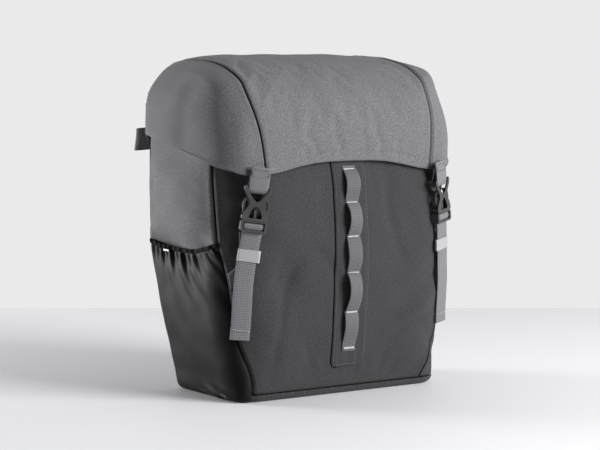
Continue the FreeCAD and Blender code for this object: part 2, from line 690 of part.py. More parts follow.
def make_rack_hardware():
    keep("upper_rail", rail(RAIL_HALF, RAIL_Z))
    keep("upper_rail_screws", screws(RAIL_HALF, RAIL_Z))
    keep("lower_rail", rail(LOWER_RAIL_HALF, LOWER_RAIL_Z))
    keep("lower_rail_screws", screws(LOWER_RAIL_HALF, LOWER_RAIL_Z))
    for name, side in SIDES:
        x = side * HOOK_X
        keep("hook_" + name, make_hook(x))
        keep("hook_latch_" + name, make_latch(x))
        pin = rod_x(LATCH_PIN_R, x - HOOK_WIDTH / 2, x + HOOK_WIDTH / 2, LATCH_PIN_Y, LATCH_PIN_Z)
        keep("latch_pin_" + name, pin)

    # anti-sway hook: a slider on the lower rail and a J-shaped arm that turns on its pivot
    z = LOWER_RAIL_Z
    y = BACK_Y + SWAY_DEPTH
    block = slider_block(0, z, SWAY_WIDTH, y)
    pivot = rod_y(SWAY_PIVOT_R, y - 1, y + 8, 0, z)
    cap = rod_y(SWAY_CAP_R, y + 6.2, y + 8, 0, z)
    keep("sway_hook_slider", block.fuse(pivot).fuse(cap).removeSplitter())
    low = y + 0.4
    half, thick = SWAY_ARM
    foot = z - SWAY_LENGTH
    arm = rod_y(SWAY_BOSS_R, low, low + thick, 0, z)
    arm = arm.fuse(box(-half, half, low, low + thick, foot + 6, z))
    arm = arm.fuse(box(-half, half, low, low + SWAY_REACH, foot, foot + 6))
    arm = arm.fuse(box(-half, half, low + SWAY_REACH - 5, low + SWAY_REACH, foot + 6, foot + 22))
    arm = arm.cut(rod_y(SWAY_BORE_R, low - 1, low + 7, 0, z))
    keep("sway_hook", arm.removeSplitter())


def make_handle():
    """Carry handle: a webbing bow that hangs between the hooks on two pivots fixed to the rail."""
    half, drop = HANDLE_HALF, HANDLE_DROP
    y, z = HANDLE_Y, HANDLE_Z
    lugs = []
    for s in (-1, 1):
        x0, x1 = sorted((s * (half - 5), s * (half - 2)))
        lug = box(x0, x1, BACK_Y, y + 3.5, z - 3.5, z + 3.5)
        x0, x1 = sorted((s * (half - 10), s * (half + 5)))
        foot = box(x0, x1, BACK_Y, BACK_Y + RAIL_FOOT[0], z - 4, z + 8)
        x0, x1 = sorted((s * (half - 3), s * (half + 3.4)))
        lugs.append(lug.fuse(foot).fuse(rod_x(HANDLE_PIN_R, x0, x1, y, z)).removeSplitter())
    keep("handle_lugs", Part.makeCompound(lugs))

    def bow(reach, x_half):
        side, cut = x_half - HANDLE_CORNER, -reach + HANDLE_CORNER
        return [(-x_half, 0), (-x_half, cut), (-side, -reach), (side, -reach), (x_half, cut), (x_half, 0)]

    inside = half + 0.2
    outside = inside + HANDLE_THICK
    outer = bow(drop, outside)
    inner = bow(drop - HANDLE_THICK, inside)
    outline = [(x, z + dz) for x, dz in outer] + [(x, z + dz) for x, dz in inner[::-1]]
    strap = prism_y(outline, y - HANDLE_FRONT, y + HANDLE_BEHIND)
    for s in (-1, 1):
        x0, x1 = sorted((s * inside, s * outside))
        strap = strap.fuse(rod_x(HANDLE_EYE_R, x0, x1, y, z))
        strap = strap.cut(rod_x(HANDLE_BORE_R, x0 - 1, x1 + 1, y, z))
    keep("carry_handle", strap.removeSplitter())


make_body()
make_collar()
make_pocket()
make_daisy()
make_lid()
make_buckles()
make_straps()
make_rear_loops()
make_rack_hardware()
make_handle()

os.makedirs("parts", exist_ok=True)
for node, shape in NODES.items():
    shape.exportStep("parts/" + node + ".step")
    if not shape.isValid():
        print("not valid:", node)
print(len(NODES), "nodes")
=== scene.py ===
import math

import bpy
import numpy as np
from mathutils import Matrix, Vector, noise


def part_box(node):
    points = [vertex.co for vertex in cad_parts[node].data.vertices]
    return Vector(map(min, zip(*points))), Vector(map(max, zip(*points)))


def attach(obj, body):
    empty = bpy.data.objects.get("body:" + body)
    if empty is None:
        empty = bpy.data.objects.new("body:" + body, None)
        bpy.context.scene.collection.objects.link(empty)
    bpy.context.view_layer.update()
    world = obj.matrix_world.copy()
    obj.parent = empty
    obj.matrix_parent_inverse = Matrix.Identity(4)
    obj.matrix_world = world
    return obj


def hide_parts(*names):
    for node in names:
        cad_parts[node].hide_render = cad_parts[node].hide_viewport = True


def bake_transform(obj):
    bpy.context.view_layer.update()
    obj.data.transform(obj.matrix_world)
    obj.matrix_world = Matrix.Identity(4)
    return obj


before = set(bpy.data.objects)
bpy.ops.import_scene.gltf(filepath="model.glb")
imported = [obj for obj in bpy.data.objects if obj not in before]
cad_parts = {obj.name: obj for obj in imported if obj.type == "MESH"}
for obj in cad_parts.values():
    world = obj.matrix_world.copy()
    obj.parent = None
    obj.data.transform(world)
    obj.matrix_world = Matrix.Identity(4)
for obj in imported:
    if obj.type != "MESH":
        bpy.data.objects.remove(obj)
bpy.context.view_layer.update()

# Looks of the pannier bag, in metres, in the CAD frame: +X right, -Y front, +Y rack side, +Z up.

MM = 0.001
SIDES = (("left", -1), ("right", 1))
PI = math.pi

# ------------------------------------------------------------------ shape of the body
# height, half width, front Y, back Y, front corner radius (the same driving sizes as the CAD)
LEVELS = np.array((
    (0, 146, -82, 62, 30),
    (10, 149, -85, 65, 36),
    (75, 157, -92, 79, 52),
    (150, 164, -96, 92, 62),
    (195, 168, -97, 97, 65),
    (240, 169, -94, 97, 65),
    (300, 168, -85, 97, 62),
)) * MM
BACK_RADIUS = 15 * MM
WRAP = 10 * MM
BODY_TOP = 299 * MM
BACK_TOP = 345 * MM
BACK_TOP_HALF = 167 * MM
BACK_Y = 97 * MM
FRONT_SEAM_ANGLE = np.radians((26, 26, 49, 60, 67, 68, 68))
POCKET_TOP = 176 * MM
POCKET_DENT = 13 * MM
DENT_END = 205 * MM


def curve_through(x, xs, ys):
    """Smooth curve through the points (xs, ys), with no overshoot between two equal values."""
    xs, ys = np.asarray(xs, float), np.asarray(ys, float)
    x = np.clip(x, xs[0], xs[-1])
    slope = np.diff(ys) / np.diff(xs)
    middle = np.where(slope[1:] * slope[:-1] > 0, 2 * slope[1:] * slope[:-1] / (slope[1:] + slope[:-1] + 1e-12), 0)
    tangent = np.concatenate(([slope[0]], middle, [slope[-1]]))
    i = np.clip(np.searchsorted(xs, x) - 1, 0, len(xs) - 2)
    h = xs[i + 1] - xs[i]
    t = (x - xs[i]) / h
    a = (1 + 2 * t) * (1 - t) ** 2 * ys[i] + t * (1 - t) ** 2 * h * tangent[i]
    return a + t * t * (3 - 2 * t) * ys[i + 1] + t * t * (t - 1) * h * tangent[i + 1]


def level(z):
    return [curve_through(z, LEVELS[:, 0], LEVELS[:, k]) for k in range(1, 5)]


def spans(z):
    """Lengths along the outline at height z.

    To the front corner, its end, the rear corner, its end and the middle of the back.
    """
    half, front, back, rf = level(z)
    a = half - rf
    b = a + rf * PI / 2
    c = b + (back - BACK_RADIUS) - (front + rf)
    d = c + BACK_RADIUS * PI / 2
    return a, b, c, d, d + half - BACK_RADIUS


def outline(s, z):
    """Point and outward normal on the bag's plain shape; s runs from the front's middle, + to the right."""
    s, z = np.broadcast_arrays(np.asarray(s, float), np.asarray(z, float))
    half, front, back, rf = level(z)
    a, b, c, d, _ = spans(z)
    q = np.abs(s)
    sign = np.where(s < 0, -1.0, 1.0)
    f = (q - a) / rf
    g = (q - c) / BACK_RADIUS
    parts = [q <= a, q <= b, q <= c, q <= d]
    x = np.select(parts, [q, a + rf * np.sin(f), half, half - BACK_RADIUS + BACK_RADIUS * np.cos(g)],
                  half - BACK_RADIUS - (q - d))
    y = np.select(parts, [front, front + rf - rf * np.cos(f), front + rf + (q - b),
                          back - BACK_RADIUS + BACK_RADIUS * np.sin(g)], back)
    nx = np.select(parts, [0 * q, np.sin(f), 1 + 0 * q, np.cos(g)], 0)
    ny = np.select(parts, [-1 + 0 * q, -np.cos(f), 0 * q, np.sin(g)], 1)
    return np.stack([x * sign, y, z + 0 * x], -1), np.stack([nx * sign, ny, 0 * nx], -1)


def front_seam(z):
    """Where the seam between front and side lies on the outline."""
    a = spans(z)[0]
    return a + level(z)[3] * curve_through(z, LEVELS[:, 0], FRONT_SEAM_ANGLE)


def back_seam(z):
    return spans(z)[2] + BACK_RADIUS * PI / 4


def left_front_seam(z):
    return -front_seam(z)


def left_back_seam(z):
    return -back_seam(z)


def side_across(s, z):
    """Place across the left side: 0 at the rear seam, 1 at the front one."""
    return (s + back_seam(z)) / (back_seam(z) - front_seam(z))


# ------------------------------------------------------------------ small helpers

def bump(t, middle, width):
    return np.exp(-((t - middle) / width) ** 2)


def ramp(t, low, high):
    u = np.clip((t - low) / (high - low), 0, 1)
    return u * u * (3 - 2 * u)


def roughness(points, size, seed=0.0):
    """Smooth noise from -1 to 1 at each point, with features of about that size."""
    flat = np.asarray(points, float).reshape(-1, 3) / size
    values = [noise.noise(Vector((p[0] + seed, p[1] - seed, p[2] + 0.37 * seed))) for p in flat]
    return np.array(values).reshape(np.asarray(points).shape[:-1])


def unit(vectors):
    return vectors / np.linalg.norm(vectors, axis=-1, keepdims=True)


def lengths(path):
    """Distance along a path at each of its points."""
    return np.concatenate(([0], np.cumsum(np.linalg.norm(np.diff(path, axis=0), axis=1))))


def pair(a, b):
    """Two values broadcast to one grid, such as its UV."""
    return np.stack(np.broadcast_arrays(a, b), -1)


def link(obj):
    bpy.context.scene.collection.objects.link(obj)
    return obj


def mesh_object(name, verts, faces, material, uvs=None):
    mesh = bpy.data.meshes.new(name)
    flat = np.asarray(verts, float).reshape(-1, 3)
    mesh.from_pydata([tuple(map(float, v)) for v in flat], [], [tuple(map(int, f)) for f in faces])
    if uvs is not None:
        layer = mesh.uv_layers.new(name="UVMap")
        corner = np.zeros(len(mesh.loops), dtype=np.int32)
        mesh.loops.foreach_get("vertex_index", corner)
        layer.data.foreach_set("uv", np.asarray(uvs, float).reshape(-1, 2)[corner].ravel())
    mesh.polygons.foreach_set("use_smooth", [True] * len(mesh.polygons))
    mesh.update()
    mesh.materials.append(material)
    return link(bpy.data.objects.new(name, mesh))


def grid_faces(rows, cols, closed=False):
    wrap = cols if closed else cols - 1
    return [
        (r * cols + c, r * cols + (c + 1) % cols, (r + 1) * cols + (c + 1) % cols, (r + 1) * cols + c)
        for r in range(rows - 1) for c in range(wrap)
    ]


def tube_faces(rows, cols, ring=False):
    """Faces of a grid closed round its columns, with its ends capped, or joined into a ring."""
    last = (rows - 1) * cols
    if ring:
        ends = [(last + c, last + (c + 1) % cols, (c + 1) % cols, c) for c in range(cols)]
    else:
        ends = [tuple(range(cols))[::-1], tuple(range(last, last + cols))]
    return grid_faces(rows, cols, closed=True) + ends


def thicken(obj, thickness, offset=-1, even=False):
    solid = obj.modifiers.new("thickness", "SOLIDIFY")
    solid.thickness = thickness
    solid.offset = offset
    solid.use_even_offset = even
    return obj


def sheet_mesh(name, points, uv, material, thickness, outside=1):
    """Fabric panel from a grid of points on its outer face; its thickness goes inwards."""
    obj = mesh_object(name, points, grid_faces(*points.shape[:2]), material, uv)
    return thicken(obj, thickness, -outside, even=True)


def finish_piece(obj, body, slot, *replaced):
    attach(obj, body)
    if replaced:
        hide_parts(*replaced)


def ribbon_section(width, thick):
    """Outline of webbing: flat faces with softly rounded selvedges; (across, out) and the U of each point."""
    h, t = width / 2, thick / 2
    edge = 0.55 * thick
    top = [(-h, 0), (-h + 0.3 * edge, 0.75 * t), (-h + edge, t), (-h / 2, t), (0, t), (h / 2, t), (h - edge, t),
           (h - 0.3 * edge, 0.75 * t), (h, 0)]
    low = [(x, -y) for x, y in top[-2:0:-1]]
    return np.array(top + low)


def ribbon(name, path, across, width, thick, material, closed=False):
    """Webbing that follows a path; across is the width direction at each point (or one for all)."""
    path = np.asarray(path, float)
    n = len(path)
    across = np.broadcast_to(np.asarray(across, float), (n, 3))
    tangent = unit(np.roll(path, -1, 0) - np.roll(path, 1, 0) if closed else np.gradient(path, axis=0))
    across = unit(across - (across * tangent).sum(1)[:, None] * tangent)
    out = np.cross(tangent, across)
    shape = ribbon_section(width, thick)
    verts = path[:, None] + shape[None, :, :1] * across[:, None] + shape[None, :, 1:] * out[:, None]
    uv = pair(shape[None, :, 0], lengths(path)[:, None])
    return mesh_object(name, verts, tube_faces(n, len(shape), closed), material, uv)


def smooth_path(points, count=60, closed=False):
    """Catmull-Rom curve through given points, evenly sampled."""
    p = np.asarray(points, float)
    if closed:
        p = np.vstack((p[-1:], p, p[:2]))
    else:
        p = np.vstack((2 * p[0] - p[1], p, 2 * p[-1] - p[-2]))
    fine = []
    for i in range(1, len(p) - 2):
        for t in np.linspace(0, 1, 24, endpoint=False):
            a, b, c, d = p[i - 1:i + 3]
            fine.append(0.5 * (2 * b + (c - a) * t + (2 * a - 5 * b + 4 * c - d) * t * t
                               + (3 * b - a - 3 * c + d) * t ** 3))
    if not closed:
        fine.append(p[-2])
    fine = np.array(fine)
    if closed:
        fine = np.vstack((fine, fine[:1]))
    length = lengths(fine)
    targets = np.linspace(0, length[-1], count, endpoint=not closed)
    return np.stack([np.interp(targets, length, fine[:, k]) for k in range(3)], -1)


TUBE_UP = (0.31, 0.17, 0.93)    # no piping runs in this direction


def tube(name, path, radius, material, sides=8):
    """Round cord or piping along a path."""
    path = np.asarray(path, float)
    tangent = unit(np.gradient(path, axis=0))
    a = unit(np.cross(tangent, TUBE_UP))
    b = np.cross(tangent, a)
    angle = np.linspace(0, 2 * PI, sides, endpoint=False)
    ring = np.cos(angle)[None, :, None] * a[:, None] + np.sin(angle)[None, :, None] * b[:, None]
    uv = pair(angle[None] * radius, lengths(path)[:, None])
    return mesh_object(name, path[:, None] + radius * ring, tube_faces(len(path), sides), material, uv)


STITCH_RING = 6
STITCH_PROFILE = ((-0.5, 0.0), (-0.36, 0.8), (0.0, 1.0), (0.36, 0.8), (0.5, 0.0))   # place along it, fullness


def stitches(name, lines, material, length, pitch, radius):
    """Rows of thread stitches; each line is (points, outward normals), and the sizes are in millimetres."""
    length, pitch, radius = length * MM, pitch * MM, radius * MM
    verts, faces = [], []
    pattern = tube_faces(len(STITCH_PROFILE), STITCH_RING)

    def along(values, at):
        return np.array([np.interp(at, steps, values[:, i]) for i in range(3)])

    for points, normals in lines:
        points, normals = np.asarray(points, float), np.asarray(normals, float)
        steps = lengths(points)
        for k in range(int(steps[-1] / pitch)):
            at = (k + 0.5) * pitch
            here, out = along(points, at), unit(along(normals, at))
            t = along(points, at + 0.5 * pitch) - here
            t /= np.linalg.norm(t) + 1e-12
            side = np.cross(t, out)
            start = len(verts)
            for f, r in STITCH_PROFILE:
                centre = here + t * f * length + out * radius * (0.9 * r - 0.35)
                for j in range(STITCH_RING):
                    w = 2 * PI * j / STITCH_RING
                    verts.append(centre + (side * math.cos(w) * 1.25 + out * math.sin(w)) * radius * max(r, 0.15))
            faces += [tuple(start + i for i in f) for f in pattern]
    return mesh_object(name, verts, faces, material)


# ------------------------------------------------------------------ materials

class Nodes:
    """Builds a node tree in short steps."""

    def __init__(self, name):
        self.material = bpy.data.materials.new(name)
        self.material.use_nodes = True
        self.tree = self.material.node_tree
        self.tree.nodes.clear()
        self.out = self.add("ShaderNodeOutputMaterial")
        self.shader = self.add("ShaderNodeBsdfPrincipled")
        self.join(self.shader.outputs[0], self.out.inputs[0])

    def add(self, kind, **settings):
        node = self.tree.nodes.new(kind)
        for key, value in settings.items():
            setattr(node, key, value)
        return node

    def join(self, source, target):
        self.tree.links.new(source, target)

    def put(self, value, socket):
        if isinstance(value, (int, float, tuple)):
            socket.default_value = value
        else:
            self.join(value, socket)

    def math(self, operation, a, b=0.0, c=0.0):
        node = self.add("ShaderNodeMath", operation=operation)
        for value, socket in zip((a, b, c), node.inputs):
            self.put(value, socket)
        return node.outputs[0]

    def times(self, a, b):
        return self.math("MULTIPLY", a, b)

    def affine(self, value, factor, plus):
        return self.math("MULTIPLY_ADD", value, factor, plus)

    def sine(self, value):
        return self.math("SINE", value)

    def mix(self, factor, a, b, kind="RGBA"):
        node = self.add("ShaderNodeMix", data_type=kind)
        first, result = (6, 2) if kind == "RGBA" else (2, 0)
        self.put(factor, node.inputs[0])
        self.put(a, node.inputs[first])
        self.put(b, node.inputs[first + 1])
        return node.outputs[result]

    def blend(self, factor, a, b):
        """Factor parts of a, the rest of b."""
        return self.math("ADD", self.times(a, factor), self.times(b, 1 - factor))

    def place(self):
        return self.add("ShaderNodeTexCoord").outputs["Object"]

    def cloth_uv(self):
        """The UV (in metres on the cloth), and its two parts."""
        uv = self.add("ShaderNodeUVMap").outputs[0]
        split = self.add("ShaderNodeSeparateXYZ")
        self.join(uv, split.inputs[0])
        return uv, split.outputs[0], split.outputs[1]

    def worn_edge(self, low, high):
        """0 to 1 where the surface turns sharply outwards."""
        node = self.add("ShaderNodeValToRGB")
        for element, place, value in zip(node.color_ramp.elements, (low, high), (0, 1)):
            element.position = place
            element.color = (value, value, value, 1)
        self.join(self.add("ShaderNodeNewGeometry").outputs["Pointiness"], node.inputs[0])
        return node.outputs[0]

    def noise(self, vector, scale, detail=3.0, rough=0.55):
        node = self.add("ShaderNodeTexNoise")
        self.put(vector, node.inputs["Vector"])
        node.inputs["Scale"].default_value = scale
        node.inputs["Detail"].default_value = detail
        node.inputs["Roughness"].default_value = rough
        return node.outputs[0]

    def stretched(self, vector, scale):
        node = self.add("ShaderNodeMapping")
        self.put(vector, node.inputs["Vector"])
        node.inputs["Scale"].default_value = scale
        return node.outputs[0]

    def surface(self, colour, rough, metallic=0.0, sheen=0.0, sheen_rough=0.4, specular=0.5):
        for name, value in (("Base Color", colour), ("Roughness", rough), ("Metallic", metallic),
                            ("Sheen Weight", sheen), ("Sheen Roughness", sheen_rough),
                            ("Specular IOR Level", specular)):
            self.put(value, self.shader.inputs[name])

    def relief(self, height, distance, strength=1.0):
        node = self.add("ShaderNodeBump")
        node.inputs["Distance"].default_value = distance
        node.inputs["Strength"].default_value = strength
        self.join(height, node.inputs["Height"])
        self.join(node.outputs[0], self.shader.inputs["Normal"])


def grey(value):
    return (value, value, value * 1.03, 1)


def tint(value, warmth=0.0):
    return (value * (1.012 + warmth), value, value * (1.07 - warmth), 1)


def weave_material(name, dark, light, pitch, rough=0.85, sheen=0.06, relief=0.22, patch=0.10, specular=0.3):
    """Plain weave with threads of two mixed shades: each crossing shows the warp or the weft thread."""
    n = Nodes(name)
    uv, u, v = n.cloth_uv()
    su, sv = n.sine(n.times(u, PI / pitch)), n.sine(n.times(v, PI / pitch))
    over = n.math("GREATER_THAN", n.times(su, sv), 0.0)
    warp = n.math("ABSOLUTE", su)
    weft = n.math("ABSOLUTE", sv)
    height = n.mix(over, n.times(warp, n.affine(weft, 0.4, 0.6)), n.times(weft, n.affine(warp, 0.4, 0.6)), "FLOAT")
    along_warp = n.noise(n.stretched(uv, (1 / pitch, 0.28 / pitch, 1)), 1.0, 2.0)
    along_weft = n.noise(n.stretched(uv, (0.28 / pitch, 1 / pitch, 1)), 1.0, 2.0)
    thread = n.mix(over, along_warp, along_weft, "FLOAT")
    colour = n.mix(n.affine(n.math("SUBTRACT", thread, 0.5), 2.4, 0.5), dark, light)
    cloud = n.noise(n.place(), 14.0, 4.0, 0.6)
    shade = n.affine(n.math("SUBTRACT", cloud, 0.5), patch * 2, 1.0)
    # the colour is scaled down in the gaps between threads and up on their crowns: painted shade in the weave's gaps;
    # the cloud scales it by tone that differs at random
    mixed = n.add("ShaderNodeVectorMath", operation="SCALE")
    n.join(colour, mixed.inputs[0])
    n.join(n.times(shade, n.affine(height, 0.22, 0.84)), mixed.inputs["Scale"])
    n.surface(mixed.outputs[0], n.affine(cloud, 0.12, rough - 0.06), sheen=sheen, specular=specular)
    n.relief(n.math("ADD", height, n.times(thread, 0.5)), relief * MM)
    return n.material


YARN_ACROSS, YARN_ALONG = 2.2 * MM, 1.9 * MM


def webbing_material(name, dark, light, sheen=0.12):
    """Flat webbing: a grid of round yarns, with painted shade that darkens the gaps between them."""
    n = Nodes(name)
    uv, u, v = n.cloth_uv()
    column = n.math("ABSOLUTE", n.sine(n.times(u, PI / YARN_ACROSS)))
    row = n.math("ABSOLUTE", n.sine(n.times(v, PI / YARN_ALONG)))
    crown = n.math("MAXIMUM", n.times(column, 0.8), row)
    height = n.affine(n.times(column, row), 0.22, n.times(crown, 0.78))
    yarn = n.noise(n.stretched(uv, (900.0, 260.0, 1)), 1.0, 2.0)
    # dark in the gaps between yarns and light on their crowns: painted shade, with yarn tone that differs at random
    node = n.add("ShaderNodeClamp")
    n.join(n.affine(n.math("SUBTRACT", height, 0.42), 1.5, n.times(yarn, 0.5)), node.inputs[0])
    n.surface(n.mix(node.outputs[0], dark, light), 0.7, sheen=sheen, specular=0.3)
    n.relief(height, 0.4 * MM)
    return n.material


def satin_material(name, dark, light):
    """Smooth stretch knit: very fine ribs and a broad soft gloss."""
    n = Nodes(name)
    uv, u, _ = n.cloth_uv()
    ribs = n.sine(n.times(u, 2 * PI / (0.7 * MM)))
    fine = n.noise(n.stretched(uv, (1500.0, 500.0, 1)), 1.0, 2.0)
    shade = n.blend(0.6, fine, n.noise(n.place(), 18.0, 3.0))
    n.surface(n.mix(shade, dark, light), n.affine(fine, 0.12, 0.42), sheen=0.01, sheen_rough=0.35, specular=0.055)
    n.relief(n.affine(ribs, 0.5, fine), 0.05 * MM)
    return n.material


def reflective_material(name, value):
    """Reflective tape: glass-bead cloth with fine cross ribs."""
    n = Nodes(name)
    uv, _, v = n.cloth_uv()
    ribs = n.math("ABSOLUTE", n.sine(n.times(v, PI / (1.1 * MM))))
    # darker in the valleys between the cross ribs: painted shade, mixed with fine random tone
    shade = n.blend(0.7, ribs, n.noise(n.stretched(uv, (4000.0, 4000.0, 1)), 1.0, 1.0))
    n.surface(n.mix(shade, grey(value * 0.72), grey(value)), 0.38, metallic=0.15, specular=0.6)
    n.relief(shade, 0.12 * MM)
    return n.material


def plastic_material(name, value, rough=0.42):
    """Moulded plastic: fine grain, and lighter where its corners are worn."""
    n = Nodes(name)
    place = n.place()
    fine = n.noise(place, 2600.0, 2.0)
    cloud = n.noise(place, 60.0, 3.0)
    base = n.mix(cloud, grey(value * 0.9), grey(value * 1.1))
    worn = n.mix(n.times(n.worn_edge(0.50, 0.62), 0.5), base, grey(value * 2.2))
    n.surface(worn, n.affine(cloud, 0.14, rough - 0.07))
    n.relief(fine, 0.04 * MM, 0.6)
    return n.material


def metal_material(name, value, rough):
    n = Nodes(name)
    brushed = n.noise(n.stretched(n.place(), (60.0, 1800.0, 1800.0)), 1.0, 2.0)
    colour = n.mix(brushed, grey(value * 0.85), grey(value * 1.1))
    n.surface(colour, n.affine(brushed, 0.2, rough - 0.1), metallic=1.0)
    n.relief(brushed, 0.02 * MM, 0.5)
    return n.material


def thread_material(name, value):
    n = Nodes(name)
    twist = n.noise(n.place(), 3500.0, 1.0)
    n.surface(n.mix(twist, grey(value * 0.8), grey(value * 1.15)), 0.6, sheen=0.2)
    n.relief(twist, 0.05 * MM)
    return n.material


GREY_CLOTH = weave_material("grey_cloth", tint(0.038), tint(0.160), 0.9 * MM, patch=0.08)
DARK_CLOTH = weave_material("dark_cloth", tint(0.006, -0.01), tint(0.040, -0.01), 0.9 * MM, patch=0.07)
LINING = weave_material("lining_cloth", tint(0.03), tint(0.05), 0.5 * MM, rough=0.6, relief=0.06)
SATIN = satin_material("satin_knit", tint(0.0045, -0.02), tint(0.009, -0.02))
ELASTIC = weave_material("elastic_binding", tint(0.003), tint(0.009), 0.7 * MM, sheen=0.0, relief=0.10, specular=0.06)
GREY_WEB = webbing_material("grey_webbing_cloth", tint(0.055), tint(0.130, -0.01))
BLACK_WEB = webbing_material("black_webbing_cloth", tint(0.002), tint(0.008), sheen=0.03)
# a darker copy of the grey webbing: painted shade on the daisy chain, which faces the key lamp, and on the strap
# anchors behind the tails
GREY_WEB_PAINTED_SHADE = webbing_material("grey_webbing_painted_shade", tint(0.032), tint(0.088, -0.01))
REFLECTIVE = reflective_material("reflective_cloth", 0.27)
# near-black cloth for the lid's left piping and the base seam's welt, and for the cords that paint shade in the front
# seams and a shadow along the patch's edge
PIPING_AND_SHADE_CORD = weave_material("piping_and_shade_cord_cloth", tint(0.002), tint(0.007), 0.5 * MM, sheen=0.0, relief=0.05, specular=0.06)
BUCKLE = plastic_material("buckle_resin", 0.015)
HOOK = plastic_material("hook_resin", 0.008, 0.5)
BOARD = plastic_material("board_resin", 0.015, 0.6)
RAIL = metal_material("rail_alloy", 0.035, 0.45)
STEEL = metal_material("steel_zinc", 0.35, 0.35)
DARK_THREAD = thread_material("dark_thread", 0.010)
GREY_THREAD = thread_material("grey_thread", 0.055)
PALE_THREAD = thread_material("pale_thread", 0.34)

# ------------------------------------------------------------------ sewn panels under pressure

def blurred(grid, times):
    """Averages a grid with its neighbours; its edges are repeated outwards."""
    for _ in range(times):
        g = np.pad(grid, 1, mode="edge")
        grid = (g[:-2, 1:-1] + g[2:, 1:-1] + g[1:-1, :-2] + g[1:-1, 2:] + 4 * grid) / 8
    return grid


CLOTH = dict(
    quality=5, mass=0.25, vertex_group_mass="sewn", tension_stiffness=14, compression_stiffness=14,
    shear_stiffness=6, bending_stiffness=0.6, air_damping=1.5, use_pressure=True, uniform_pressure_force=4.0,
)
CLOTH_FRAMES = 20


def simulated(points, normals, spare, limit, seed, fullness=0.10):
    """Cloth simulation of one panel that is sewn along its edges and pressed outwards by what is inside.

    Spare is the share of extra cloth. The result is how far each grid point moves along its normal, up to
    about the limit: the small folds, and a share (fullness) of the broad bulge.
    """
    rows, cols = points.shape[:2]
    uneven = 0.7 * MM * roughness(points, 26 * MM, seed) + 0.35 * MM * roughness(points, 11 * MM, seed + 5)
    start = points + normals * uneven[..., None]
    obj = mesh_object("cloth_panel", start, grid_faces(rows, cols), GREY_CLOTH)
    index = np.arange(rows * cols).reshape(rows, cols)
    sewn = np.concatenate((index[0], index[-1], index[:, 0], index[:, -1]))
    group = obj.vertex_groups.new(name="sewn")
    group.add([int(i) for i in np.unique(sewn)], 1.0, "REPLACE")
    cloth = obj.modifiers.new("cloth", "CLOTH")
    for key, value in CLOTH.items():
        setattr(cloth.settings, key, value)
    cloth.settings.shrink_min = -spare
    cloth.settings.effector_weights.gravity = 0.0
    cloth.point_cache.frame_start = 1
    cloth.point_cache.frame_end = CLOTH_FRAMES + 2
    for frame_number in range(CLOTH_FRAMES):
        bpy.context.scene.frame_set(frame_number + 1)
    graph = bpy.context.evaluated_depsgraph_get()
    settled = bpy.data.meshes.new_from_object(obj.evaluated_get(graph))
    moved = np.zeros(rows * cols * 3)
    settled.vertices.foreach_get("co", moved)
    bpy.data.objects.remove(obj)
    bpy.data.meshes.remove(settled)
    bpy.context.scene.frame_set(1)
    out = ((moved.reshape(rows, cols, 3) - points) * normals).sum(-1)
    broad = blurred(out, 60)
    from_edge = [np.minimum(np.arange(n), np.arange(n)[::-1]) for n in (rows, cols)]
    edge = np.minimum.outer(*from_edge)
    kept = fullness * broad + (out - broad)
    return limit * np.tanh(kept / limit) * ramp(edge, 0, 3)


def sample(grid, u, v):
    """Smooth value of a grid at (row, column) places from 0 to 1."""
    rows, cols = grid.shape
    padded = np.pad(grid, 1, mode="edge")

    def weights(t):
        return (0.5 * (-t + 2 * t * t - t ** 3), 0.5 * (2 - 5 * t * t + 3 * t ** 3),
                0.5 * (t + 4 * t * t - 3 * t ** 3), 0.5 * (t ** 3 - t * t))

    a, b = np.clip(u, 0, 1) * (rows - 1), np.clip(v, 0, 1) * (cols - 1)
    i, j = np.minimum(a.astype(int), rows - 2), np.minimum(b.astype(int), cols - 2)
    wa, wb = weights(a - i), weights(b - j)
    total = 0.0
    for m in range(4):
        for n in range(4):
            total = total + wa[m] * wb[n] * padded[np.minimum(i + m, rows + 1), np.minimum(j + n, cols + 1)]
    return total


CLOTH_STEP = 5.2 * MM
PANEL_FIELDS = {}


def simulate_body():
    """Fields of movement for the front and both sides, on coarse grids of (height, place along the outline)."""
    for name, low_s, high_s, spare, seed in (
        ("front", left_front_seam, front_seam, 0.012, 1.0),
        ("left", left_back_seam, left_front_seam, 0.026, 17.0),
        ("right", front_seam, back_seam, 0.026, 31.0),
    ):
        heights = np.linspace(WRAP, BODY_TOP, 56)
        wide = float(np.max(high_s(heights) - low_s(heights)))
        t = np.linspace(0, 1, int(wide / CLOTH_STEP))
        z = np.repeat(heights[:, None], len(t), 1)
        along = low_s(heights)[:, None] * (1 - t) + high_s(heights)[:, None] * t
        points, normals = outline(along, z)
        PANEL_FIELDS[name] = blurred(simulated(points, normals, spare, 2.4 * MM, seed), 2)


def panel_move(s, z):
    """How far the simulated panels stand out at a place on the bag."""
    s, z = np.broadcast_arrays(np.asarray(s, float), np.asarray(z, float))
    if not PANEL_FIELDS:
        return 0 * s
    seam, rear = front_seam(z), back_seam(z)
    u = (z - WRAP) / (BODY_TOP - WRAP)
    front = sample(PANEL_FIELDS["front"], u, (s + seam) / (2 * seam))
    left = sample(PANEL_FIELDS["left"], u, (s + rear) / (rear - seam))
    right = sample(PANEL_FIELDS["right"], u, (s - seam) / (rear - seam))
    side = np.where(np.abs(s) > rear, 0.0, np.where(s < 0, left, right))
    return np.where(np.abs(s) < seam, front, side)


# ------------------------------------------------------------------ body panels

STEP = 3.2 * MM


def seam_drift(z):
    """The right front seam is pulled inwards towards the base, where the full side pushes forward."""
    return 7.5 * MM * (1 - ramp(z, 50 * MM, 150 * MM)) + 13 * MM * (1 - ramp(z, 2 * MM, 34 * MM))


